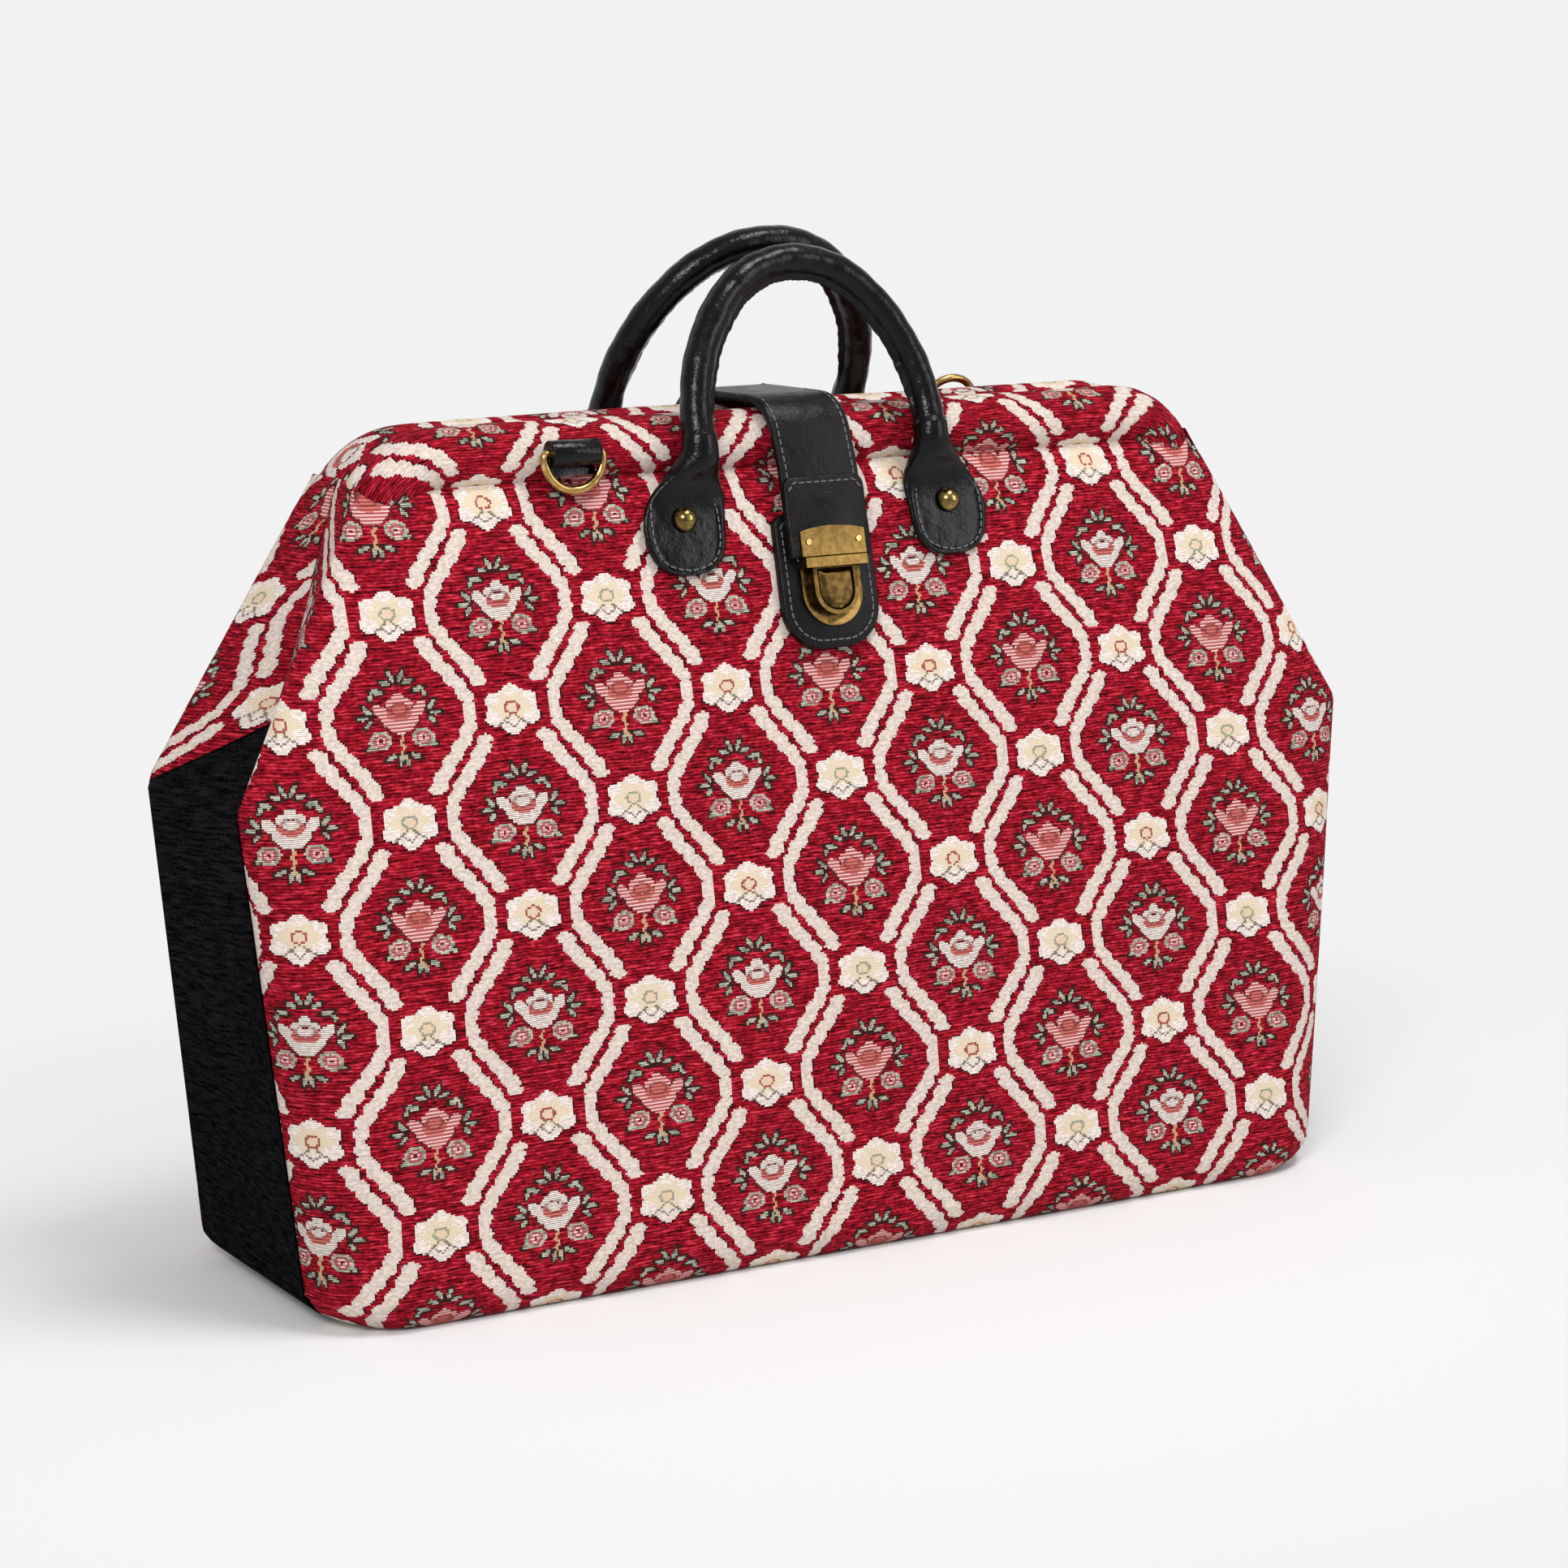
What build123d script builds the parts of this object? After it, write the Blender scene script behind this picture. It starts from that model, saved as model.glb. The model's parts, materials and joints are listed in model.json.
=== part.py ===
"""Framed laptop bag in woven tapestry, with black side gussets, leather handles and a push lock.

Origin: middle of the base, on the surface the bag stands on. X is the width, -Y the front, +Z up.
Millimetres. The front half of the mouth is described, and the back half is its mirror image.
"""

import os
from collections import namedtuple
from math import atan, cos, degrees, pi, radians, sin, tan

from build123d import *

# bag body, as half sizes from the middle of the bag
BASE_HALF_WIDTH = 196.0
SHOULDER_HALF_WIDTH = 213.0
TOP_HALF_WIDTH = 159.0
SHOULDER_Z = 168.0
TOP_CORNER_Z = 268.0
BASE_HALF_DEPTH = 67.0
FACE_LEAN = 0.080
FACE_CURVE = 1.1e-6
SEAM_DEPTH_BASE = 42.0
SEAM_DEPTH_SHOULDER = 37.0
SEAM_DEPTH_TOP = 18.0
CORNER_LOWER = 32.0
CORNER_TOP = 24.0
BOTTOM_ROUND = 10.0
BOTTOM_TUCK = 6.0
SIDE_TUCK = 15.0
GUSSET_FOLD = 30.0
FOLD_START_Z = 40.0
GUSSET_PEAK_Z = 192.0
UPPER_TOP_Z = 266.0

# cloth and board
TAPESTRY = 3.0
LINING = 1.2
LINING_GAP = 0.3
LINING_TOP_Z = 255.0
LINING_WAIST_Z = 60.0
LINING_HALF_WIDTH = 191.0
LINING_CORNER = 28.0
LINING_SIDE_TUCK = 3.0
LINING_FACE_TUCK = 1.6
BOARD = 3.0
BOARD_MARGIN = 14.0
SEAT_GAP = 0.15
CUT_GAP = 0.25

# rolled channel at the top of each half, and the steel frame inside it
CHANNEL_RADIUS = 12.5
CHANNEL_BORE = 10.0
CHANNEL_FLAT = 2.0
CHANNEL_Y = 13.0
CHANNEL_Z = 271.5
CHANNEL_CORNER_X = 152.0
CHANNEL_BEND = 25.0
CHANNEL_TURN = 62.0
FRAME_WIDTH = 8.0
FRAME_THICK = 3.0
HINGE_X = 171.0
HINGE_OFFSET = 3.6
LEG_END = 8.0
EYE_RADIUS = 6.0
EYE_THICK = 2.0
EYE_HEIGHT = 13.0
PIN_HOLE = 2.0
PIN_CLEARANCE = 0.05
PIN_HEAD_RADIUS = 3.4
PIN_HEAD = 1.0
PADDING_CLEARANCE = 0.1

# handles
FRONT_HANDLE_SPREAD = 44.5
BACK_HANDLE_SPREAD = 48.0
FRONT_HANDLE_RISE = 62.3
BACK_HANDLE_RISE = 73.0
HANDLE_SHOULDER_RADIUS = 65.0
HANDLE_SHOULDER_TURN = 45.0
HANDLE_FOOT = 1.0
HANDLE_TUBE = 5.3
HANDLE_BORE = 4.0
HANDLE_CORE = 3.9
PIVOT_Y = 32.6
PIVOT_Z = 271.5
FRONT_HANDLE_LEAN = 17.0
BACK_HANDLE_LEAN = 27.0
HANDLE_SWING = 95.0
SOCKET = 5.6
SOCKET_MARGIN = 3.0
TAB_HALF_WIDTH = 15.0
TAB_BOTTOM_Z = 230.8
TAB_WIDE_Z = 254.0
TAB_THICK = 3.2
NECK_RADIUS = 7.0
NECK_TOP_Z = 270.0
RIVET_X = 51.0
RIVET_Z = 248.2
RIVET_RADIUS = 4.2
RIVET_DOME = 3.0
RIVET_SHANK = 1.5
RIVET_BURR = 0.8

# D-rings and their leather loops
LOOP_X = 90.0
LOOP_WIDTH = 17.4
LOOP_RADIUS = 4.4
LOOP_BORE = 1.55
LOOP_Y = 29.7
LOOP_Z = 272.8
LOOP_TAIL = 7.5
LOOP_LEATHER = 3.4
RING_WIRE = 1.45
RING_HALF_WIDTH = 10.6
RING_BAR_CORNER = 1.5
FRONT_RING_HANG = 6.0
BACK_RING_RAISE = 200.0

# lock and closing strap, laid out on the leaning front face
LOCK_Z = 226.5
PATCH_HALF_WIDTH = 18.4
PATCH_UP = 21.5
PATCH_DOWN = 24.0
PATCH_THICK = 3.0
PATCH_CORNER = 4.0
PATCH_LOW_CORNER = 14.0
PLATE_HALF_WIDTH = 11.4
PLATE_DOWN = 16.8
PLATE_THICK = 1.5
COLLAR_OUT = 4.6
COLLAR_HALF_WIDTH = 8.4
COLLAR_DOWN = 13.4
BUTTON_HALF_WIDTH = 6.5
BUTTON_TOP = 1.9
BUTTON_DOWN = 11.6
BUTTON_LOW = 2.5
BUTTON_HIGH = 6.0
BUTTON_CLEARANCE = 0.35
BUTTON_FACET = 1.6
RECESS_FLOOR = 0.8
BAR_HALF_WIDTH = 11.8
BAR_LOW = 2.6
BAR_HIGH = 5.9
BAR_THICK = 7.0
SLOT_INNER = 4.2
SLOT_OUTER = 6.3
SLOT_DEPTH = 2.3
SLOT_HALF_WIDTH = 9.8
TONGUE_HALF_WIDTH = 9.0
TONGUE_THICK = 0.8
TONGUE_DEPTH = 2.0
HASP_GAP = 0.3
HASP_HALF_WIDTH = 12.4
HASP_THICK = 1.4
HASP_HIGH = 14.8
HASP_CROWN = 1.6
HASP_RIVET_X = 9.6
HASP_RIVET_V = 11.2
HASP_RIVET_RADIUS = 1.0
HASP_RIVET_HEAD = 0.5
END_PATCH_HALF_WIDTH = 15.4
END_PATCH_HIGH = 33.4
END_PATCH_THICK = 1.5
STRAP_HALF_WIDTH = 15.0
STRAP_THICK = 2.6
STRAP_Y = 15.5
STRAP_RADIUS = 14.0
STRAP_HINGE_Y = 8.0
STRAP_TAIL_Z = 241.0
STRAP_END_GAP = 0.3

# inside
SLEEVE_HALF_WIDTH = 158.0
SLEEVE_GAP = 26.0
SLEEVE_PAD = 4.0
SLEEVE_LOW_Z = 14.0
SLEEVE_TOP_Z = 150.0
POCKET_HALF_WIDTH = 90.0
POCKET_GAP = 9.0
POCKET_LOW_Z = 55.0
POCKET_TOP_Z = 145.0

BIG = 400.0
Level = namedtuple("Level", "z width seam face valley corner")


def face_depth(z):
    """Half depth of the bag in its middle: it leans in a little at the base and more towards the top."""
    return BASE_HALF_DEPTH - FACE_LEAN * z - FACE_CURVE * z**3


def leg_x(z):
    """Middle of the frame's leg at height z."""
    return HINGE_X + (CHANNEL_CORNER_X - HINGE_X) * (z - SHOULDER_Z) / (CHANNEL_Z - SHOULDER_Z)


def level(z):
    """The bag's outside measurements at height z."""
    if z <= SHOULDER_Z:
        share = max(z, BOTTOM_ROUND) / SHOULDER_Z
        width = BASE_HALF_WIDTH + (SHOULDER_HALF_WIDTH - BASE_HALF_WIDTH) * share
        seam = SEAM_DEPTH_BASE + (SEAM_DEPTH_SHOULDER - SEAM_DEPTH_BASE) * share
        fold = (max(z - FOLD_START_Z, 0.0) / (SHOULDER_Z - FOLD_START_Z)) ** 1.6
        corner = CORNER_LOWER
    else:
        share = (z - SHOULDER_Z) / (TOP_CORNER_Z - SHOULDER_Z)
        width = SHOULDER_HALF_WIDTH + (TOP_HALF_WIDTH - SHOULDER_HALF_WIDTH) * share
        seam = SEAM_DEPTH_SHOULDER + (SEAM_DEPTH_TOP - SEAM_DEPTH_SHOULDER) * share
        fold = max(1.0 - share, 0.0) ** 1.3
        corner = CORNER_LOWER + (CORNER_TOP - CORNER_LOWER) * share
    depth = face_depth(max(z, BOTTOM_ROUND))
    return Level(z, width, seam, depth, width - 0.6 - (GUSSET_FOLD - 0.6) * fold, corner)


def lining_level(z):
    """The lining's outside measurements: it hangs inside the frame's legs."""
    width = LINING_HALF_WIDTH
    if z > SHOULDER_Z:
        width = leg_x(z) - FRAME_WIDTH
    elif z > LINING_WAIST_Z:
        share = (z - LINING_WAIST_Z) / (SHOULDER_Z - LINING_WAIST_Z)
        width += (HINGE_X - FRAME_WIDTH - LINING_HALF_WIDTH) * share
    depth = face_depth(max(z, BOTTOM_ROUND)) - TAPESTRY - LINING_GAP
    return Level(z, width, level(z).seam, depth, width - 0.6, LINING_CORNER)


def loft_levels(levels, grow=0.0, ruled=False):
    """A closed solid through level outlines, grown outwards by grow: straight front and back, rounded
    corners, and sides that fold inwards to a valley in the middle."""
    with BuildPart() as solid:
        for lv in levels:
            reach = lv.width - lv.corner
            side, face, valley = lv.width + grow, lv.face + grow, lv.valley + grow
            round_x, round_y = lv.corner + grow, lv.face - lv.seam + grow
            with BuildSketch(Plane.XY.offset(lv.z)):
                with BuildLine():
                    Line((-reach, -face), (reach, -face))
                    EllipticalCenterArc((reach, -lv.seam), round_x, round_y, 270)
                    Line((side, -lv.seam), (valley, 0))
                    Line((valley, 0), (side, lv.seam))
                    EllipticalCenterArc((reach, lv.seam), round_x, round_y, 0)
                    Line((reach, face), (-reach, face))
                    EllipticalCenterArc((-reach, lv.seam), round_x, round_y, 90)
                    Line((-side, lv.seam), (-valley, 0))
                    Line((-valley, 0), (-side, -lv.seam))
                    EllipticalCenterArc((-reach, -lv.seam), round_x, round_y, 180)
                make_face()
        loft(ruled=ruled)
    return solid.part


def shallower(levels, inset):
    """The same levels with the front and back moved inwards by inset."""
    return [Level(lv.z, lv.width, lv.seam - inset, lv.face - inset, lv.valley, lv.corner) for lv in levels]


def tucked(lv, z, side, face):
    """A level moved to height z, with its sides and its faces drawn in, for the rounded bottom edge."""
    return Level(z, lv.width - side, lv.seam, lv.face - face, lv.valley - side, lv.corner)


def side_prism(points):
    """A prism across the whole width of the bag, from an outline in the Y-Z plane."""
    with BuildPart() as prism:
        with BuildSketch(Plane.YZ):
            with BuildLine():
                Polyline(*points, close=True)
            make_face()
        extrude(amount=BIG, both=True)
    return prism.part


def block(low, high):
    """A box between two corners."""
    size = [h - l for l, h in zip(low, high)]
    with BuildPart() as box:
        with Locations(tuple((l + h) / 2 for l, h in zip(low, high))):
            Box(*size)
    return box.part


def face_plane(x, z, out):
    """A plane lying on the front face at (x, z), raised by out, with its Y up the face."""
    slope = FACE_LEAN + 3 * FACE_CURVE * z * z
    lean = atan(slope)
    origin = (x, -face_depth(z) - out * cos(lean), z + out * sin(lean))
    return Plane(origin=origin, x_dir=(1, 0, 0), z_dir=(0, -cos(lean), sin(lean)))


def save(shape, name):
    """Label one piece and write it."""
    shape.label = name
    export_step(shape, "parts/" + name + ".step")


def save_half(shape, name, turn_back):
    """Write a piece of the front half, or its mirror image for the back half."""
    save(mirror(shape, about=Plane.XZ) if turn_back else shape, name)


os.makedirs("parts", exist_ok=True)

# solids that the cloth pieces are cut from
WALL_LEVELS = [level(z) for z in (BOTTOM_ROUND, 60.0, 115.0, SHOULDER_Z)]
UPPER_LEVELS = [level(z) for z in (SHOULDER_Z, 192.0, 216.0, 241.0, UPPER_TOP_Z)]
FACE_LEVELS = [level(z) for z in (192.0, 216.0, 241.0, UPPER_TOP_Z, 278.0)]
lower_outer = loft_levels(WALL_LEVELS)
lower_inner = loft_levels(WALL_LEVELS, -TAPESTRY)
upper_outer = loft_levels(UPPER_LEVELS)
upper_inner = loft_levels(UPPER_LEVELS, -TAPESTRY)
foot = level(BOTTOM_ROUND)
base_outer = loft_levels([
    tucked(foot, 0.0, SIDE_TUCK, BOTTOM_TUCK),
    tucked(foot, TAPESTRY, 0.4 * SIDE_TUCK, 0.35 * BOTTOM_TUCK),
    foot,
], ruled=True)
base_inner = loft_levels([
    tucked(foot, TAPESTRY, 0.45 * SIDE_TUCK, 0.4 * BOTTOM_TUCK),
    foot,
], -TAPESTRY, ruled=True)
gusset_band = side_prism([
    (-SEAM_DEPTH_BASE, BOTTOM_ROUND + 1.0),
    (SEAM_DEPTH_BASE, BOTTOM_ROUND + 1.0),
    (SEAM_DEPTH_SHOULDER, SHOULDER_Z),
    (-SEAM_DEPTH_SHOULDER, SHOULDER_Z),
])
peak_band = side_prism([
    (-SEAM_DEPTH_SHOULDER, SHOULDER_Z),
    (SEAM_DEPTH_SHOULDER, SHOULDER_Z),
    (0, GUSSET_PEAK_Z),
])
front_space = block((-BIG, -BIG, -BIG), (BIG, -CUT_GAP, BIG))

# tapestry body: front, bottom and back in one length of cloth
with BuildPart() as body_panel:
    add(lower_outer)
    add(base_outer)
    add(lower_inner, mode=Mode.SUBTRACT)
    add(base_inner, mode=Mode.SUBTRACT)
    add(gusset_band, mode=Mode.SUBTRACT)
save(body_panel.part, "body_panel")

# black gussets: a strip down each side, folded inwards, with a peak between the two halves of the mouth
for sign, name in ((-1, "left_gusset"), (1, "right_gusset")):
    near = sorted((sign * TOP_HALF_WIDTH, sign * BIG))
    side_space = block((near[0], -BIG, -BIG), (near[1], BIG, BIG))
    with BuildPart() as strip:
        add(lower_outer)
        add(lower_inner, mode=Mode.SUBTRACT)
        add(gusset_band, mode=Mode.INTERSECT)
        add(side_space, mode=Mode.INTERSECT)
    with BuildPart() as peak:
        add(upper_outer)
        add(upper_inner, mode=Mode.SUBTRACT)
        add(peak_band, mode=Mode.INTERSECT)
        add(side_space, mode=Mode.INTERSECT)
    with BuildPart() as gusset:
        add(strip.part)
        add(peak.part)
    save(gusset.part, name)

# lining of the lower bag, with its floor on the base board
LINING_FLOOR_Z = TAPESTRY + BOARD + 2 * SEAT_GAP
LINING_LEVELS = [lining_level(z) for z in (LINING_FLOOR_Z, LINING_WAIST_Z, 115.0, SHOULDER_Z)]
LINING_LEVELS[0] = tucked(LINING_LEVELS[0], LINING_FLOOR_Z, LINING_SIDE_TUCK, LINING_FACE_TUCK)
lining_outer = loft_levels(LINING_LEVELS)
lining_inner = loft_levels(LINING_LEVELS, -LINING)
with BuildPart() as lining_cavity:
    add(lining_inner)
    add(block((-BIG, -BIG, LINING_FLOOR_Z + LINING), (BIG, BIG, BIG)), mode=Mode.INTERSECT)
with BuildPart() as lining:
    add(lining_outer)
    add(lining_cavity.part, mode=Mode.SUBTRACT)
save(lining.part, "lining")

# stiff board between the tapestry bottom and the lining
with BuildPart() as base_board:
    with BuildSketch(Plane.XY.offset(TAPESTRY + SEAT_GAP)):
        RectangleRounded(
            2 * (LINING_HALF_WIDTH - BOARD_MARGIN),
            2 * (BASE_HALF_DEPTH - BOARD_MARGIN),
            BOARD_MARGIN)
    extrude(amount=BOARD)
save(base_board.part, "base_board")


def pouch(half_width, low_z, top_z, gap, wall, front):
    """A pocket sewn to the inside of the lining by its bottom and sides."""
    sign = -1 if front else 1
    near, far = sorted((sign * 4.0, sign * BIG))
    with BuildPart() as shape:
        add(loft_levels(LINING_LEVELS, -LINING - SEAT_GAP))
        add(loft_levels(shallower(LINING_LEVELS, gap + wall), -LINING), mode=Mode.SUBTRACT)
        add(block((-half_width, near, low_z), (half_width, far, top_z)), mode=Mode.INTERSECT)
    with BuildPart() as room:
        add(loft_levels(LINING_LEVELS, -LINING))
        add(loft_levels(shallower(LINING_LEVELS, gap), -LINING), mode=Mode.SUBTRACT)
        inner_half = half_width - wall
        add(block((-inner_half, near, low_z + wall), (inner_half, far, BIG)), mode=Mode.INTERSECT)
    with BuildPart() as whole:
        add(shape.part)
        add(room.part, mode=Mode.SUBTRACT)
    return whole.part


# padded sleeve for the laptop against the back, and a slip pocket on the front
save(pouch(SLEEVE_HALF_WIDTH, SLEEVE_LOW_Z, SLEEVE_TOP_Z, SLEEVE_GAP, SLEEVE_PAD, False), "laptop_sleeve")
save(pouch(POCKET_HALF_WIDTH, POCKET_LOW_Z, POCKET_TOP_Z, POCKET_GAP, LINING, True), "slip_pocket")

# the frame's plane runs from the hinge up to the middle of the rolled channel
FRAME_LEAN = atan((CHANNEL_Y - HINGE_OFFSET) / (CHANNEL_Z - SHOULDER_Z))
FRAME_TOP = (CHANNEL_Z - SHOULDER_Z) / cos(FRAME_LEAN)
frame_plane = Plane(
    origin=(0, -HINGE_OFFSET, SHOULDER_Z),
    x_dir=(1, 0, 0),
    z_dir=(0, -cos(FRAME_LEAN), -sin(FRAME_LEAN)))
LEG_SLOPE = (HINGE_X - CHANNEL_CORNER_X) / FRAME_TOP


def frame_strip(width, thick):
    """The U-shaped steel strip without its eyes."""
    end_x = HINGE_X - LEG_SLOPE * LEG_END
    with BuildPart() as strip:
        with BuildSketch(frame_plane):
            with BuildLine():
                FilletPolyline(
                    (-end_x, LEG_END), (-CHANNEL_CORNER_X, FRAME_TOP),
                    (CHANNEL_CORNER_X, FRAME_TOP), (end_x, LEG_END), radius=CHANNEL_BEND)
            trace(line_width=width)
        extrude(amount=thick / 2, both=True)
    return strip.part


def channel_roll(radius):
    """The roll round the frame's top and corners, a little flatter than it is deep."""
    turn = radians(CHANNEL_TURN)
    full_turn = pi / 2 - atan(LEG_SLOPE)
    straight = CHANNEL_CORNER_X - CHANNEL_BEND * tan(full_turn / 2)
    start = (-straight - CHANNEL_BEND * sin(turn), FRAME_TOP - CHANNEL_BEND * (1 - cos(turn)))
    with BuildPart() as roll:
        with BuildLine(frame_plane) as path:
            rise = JernArc(start, (cos(turn), sin(turn)), CHANNEL_BEND, -CHANNEL_TURN)
            across = Line(rise @ 1, (straight, FRAME_TOP))
            JernArc(across @ 1, (1, 0), CHANNEL_BEND, -CHANNEL_TURN)
        with BuildSketch(Plane(origin=path.line @ 0, x_dir=frame_plane.z_dir, z_dir=path.line % 0)):
            Ellipse(radius, radius - CHANNEL_FLAT)
        sweep()
    return roll.part


channel_outer = channel_roll(CHANNEL_RADIUS)
channel_bore = channel_roll(CHANNEL_BORE)
channel_filling = channel_roll(CHANNEL_BORE - PADDING_CLEARANCE)
channel_room = channel_roll(CHANNEL_RADIUS + SEAT_GAP)
plain_strip = frame_strip(FRAME_WIDTH, FRAME_THICK)
strip_room = frame_strip(FRAME_WIDTH + 2 * PADDING_CLEARANCE, FRAME_THICK + 2 * PADDING_CLEARANCE)

# steel frames: the front's eyes are inside the back's, and one pin joins each pair
EYE_SPLIT = SEAT_GAP
for turn_back, name in ((False, "front_frame"), (True, "back_frame")):
    eye_near = HINGE_X + EYE_SPLIT if turn_back else HINGE_X - EYE_SPLIT - EYE_THICK
    with BuildPart() as frame:
        add(plain_strip)
        for side in (-1, 1):
            eye_start = eye_near if side > 0 else -eye_near - EYE_THICK
            with BuildSketch(Plane.YZ.offset(eye_start)):
                with Locations((0, SHOULDER_Z)):
                    Circle(EYE_RADIUS)
                with Locations((-EYE_RADIUS, SHOULDER_Z)):
                    Rectangle(EYE_RADIUS - FRAME_THICK / 2, EYE_HEIGHT, align=(Align.MIN, Align.MIN))
                with Locations((0, SHOULDER_Z)):
                    Circle(PIN_HOLE, mode=Mode.SUBTRACT)
            extrude(amount=EYE_THICK)
    save_half(frame.part, name, turn_back)

PIN_REACH = EYE_SPLIT + EYE_THICK + PIN_CLEARANCE
for side, name in ((-1, "left_hinge_pin"), (1, "right_hinge_pin")):
    with BuildPart() as pin:
        with BuildSketch(Plane.YZ.offset(side * HINGE_X)):
            with Locations((0, SHOULDER_Z)):
                Circle(PIN_HOLE - PIN_CLEARANCE)
        extrude(amount=PIN_REACH, both=True)
        for head in (-PIN_REACH - PIN_HEAD, PIN_REACH):
            with BuildSketch(Plane.YZ.offset(side * HINGE_X + head)):
                with Locations((0, SHOULDER_Z)):
                    Circle(PIN_HEAD_RADIUS)
            extrude(amount=PIN_HEAD)
    save(pin.part, name)

with BuildPart() as frame_padding:
    add(channel_filling)
    add(strip_room, mode=Mode.SUBTRACT)
for turn_back, name in ((False, "front_frame_padding"), (True, "back_frame_padding")):
    save_half(frame_padding.part, name, turn_back)

# holes for the handle rivets, square to the front face
with BuildPart() as rivet_holes:
    for side in (-1, 1):
        with BuildSketch(face_plane(side * RIVET_X, RIVET_Z, 0)):
            Circle(RIVET_SHANK + SEAT_GAP)
        extrude(amount=BASE_HALF_DEPTH / 4, both=True)

# upper tapestry of each half: face, sides folded in to the middle, and the rolled channel
with BuildPart() as mouth_panel:
    add(upper_outer)
    add(upper_inner, mode=Mode.SUBTRACT)
    add(peak_band, mode=Mode.SUBTRACT)
    add(channel_outer)
    add(channel_bore, mode=Mode.SUBTRACT)
    add(front_space, mode=Mode.INTERSECT)
    add(rivet_holes.part, mode=Mode.SUBTRACT)
MOUTH_LINING_LEVELS = [lining_level(z) for z in (SHOULDER_Z + SEAT_GAP, 198.0, 228.0, LINING_TOP_Z)]
with BuildPart() as mouth_lining:
    add(loft_levels(MOUTH_LINING_LEVELS))
    add(loft_levels(MOUTH_LINING_LEVELS, -LINING), mode=Mode.SUBTRACT)
    add(channel_room, mode=Mode.SUBTRACT)
    add(front_space, mode=Mode.INTERSECT)
    add(rivet_holes.part, mode=Mode.SUBTRACT)
for turn_back, half in ((False, "front"), (True, "back")):
    save_half(mouth_panel.part, half + "_mouth_panel", turn_back)
    save_half(mouth_lining.part, half + "_mouth_lining", turn_back)

# leather ears that carry the handles, riveted to the face
face_skin = loft_levels(FACE_LEVELS, SEAT_GAP)
face_skin_far = loft_levels(FACE_LEVELS, SEAT_GAP + TAB_THICK)
channel_skin = channel_roll(CHANNEL_RADIUS + SEAT_GAP)


# the neck's half width, half depth and share of the way out to the face, from its top down
NECK_SECTIONS = (
    (NECK_TOP_Z, NECK_RADIUS, NECK_RADIUS, 0.0),
    (263.5, 8.4, 5.6, 0.6),
    (256.0, 10.5, 1.7, 1.0),
)


def swing_room(lean):
    """The room that a handle's end needs between its rest and its outermost place."""
    low = radians(-lean - SOCKET_MARGIN)
    high = radians(HANDLE_SWING - lean + SOCKET_MARGIN)
    steps = [low + (high - low) * k / 6 for k in range(7)]
    reach = 3 * SOCKET
    with BuildPart() as room:
        with BuildSketch(Plane.YZ):
            with Locations((-PIVOT_Y, PIVOT_Z)):
                Circle(SOCKET)
                Polygon(*[(0, 0)] + [(-reach * sin(a), reach * cos(a)) for a in steps], align=None)
            for a in (low, high):
                middle = (-PIVOT_Y - reach / 2 * sin(a), PIVOT_Z + reach / 2 * cos(a))
                with Locations(Location(middle, (0, 0, degrees(a)))):
                    Rectangle(2 * SOCKET, reach)
        extrude(amount=SOCKET, both=True)
    return room.part


def handle_tab(side, spread, lean):
    """One ear: a rounded leather tab on the face that draws in to a neck with a socket."""
    neck_x = side * spread
    tab_x = side * RIVET_X
    with BuildPart() as tab:
        with BuildSketch(Plane.XZ):
            with Locations((tab_x, TAB_BOTTOM_Z + TAB_HALF_WIDTH)):
                Circle(TAB_HALF_WIDTH)
            with BuildLine():
                Polyline(
                    (tab_x - TAB_HALF_WIDTH, TAB_BOTTOM_Z + TAB_HALF_WIDTH),
                    (tab_x + TAB_HALF_WIDTH, TAB_BOTTOM_Z + TAB_HALF_WIDTH),
                    (tab_x + TAB_HALF_WIDTH, TAB_WIDE_Z),
                    (neck_x + NECK_RADIUS, NECK_TOP_Z),
                    (neck_x - NECK_RADIUS, NECK_TOP_Z),
                    (tab_x - TAB_HALF_WIDTH, TAB_WIDE_Z), close=True)
            make_face()
        extrude(amount=BIG)
        add(face_skin_far, mode=Mode.INTERSECT)
    with BuildPart() as neck:
        for z, rx, ry, out in NECK_SECTIONS:
            x = neck_x + (tab_x - neck_x) * (PIVOT_Z - z) / (PIVOT_Z - RIVET_Z)
            y = PIVOT_Y + (face_depth(z) + TAB_THICK / 2 - PIVOT_Y) * out
            with BuildSketch(Plane.XY.offset(z)):
                with Locations((x, -y)):
                    Ellipse(rx, ry)
        loft()
    with BuildPart() as ear:
        add(tab.part)
        add(neck.part)
        add(face_skin, mode=Mode.SUBTRACT)
        add(channel_skin, mode=Mode.SUBTRACT)
        add(Pos(neck_x, 0, 0) * swing_room(lean), mode=Mode.SUBTRACT)
        add(rivet_holes.part, mode=Mode.SUBTRACT)
    return ear.part


# which half, its name, and its handle's half spread, height and inward lean
HANDLES = (
    (False, "front", FRONT_HANDLE_SPREAD, FRONT_HANDLE_RISE, FRONT_HANDLE_LEAN),
    (True, "back", BACK_HANDLE_SPREAD, BACK_HANDLE_RISE, BACK_HANDLE_LEAN),
)
for turn_back, half, spread, rise, lean in HANDLES:
    for side, end in ((-1, "left"), (1, "right")):
        save_half(handle_tab(side, spread, lean), half + "_handle_tab_" + end, turn_back)

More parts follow.
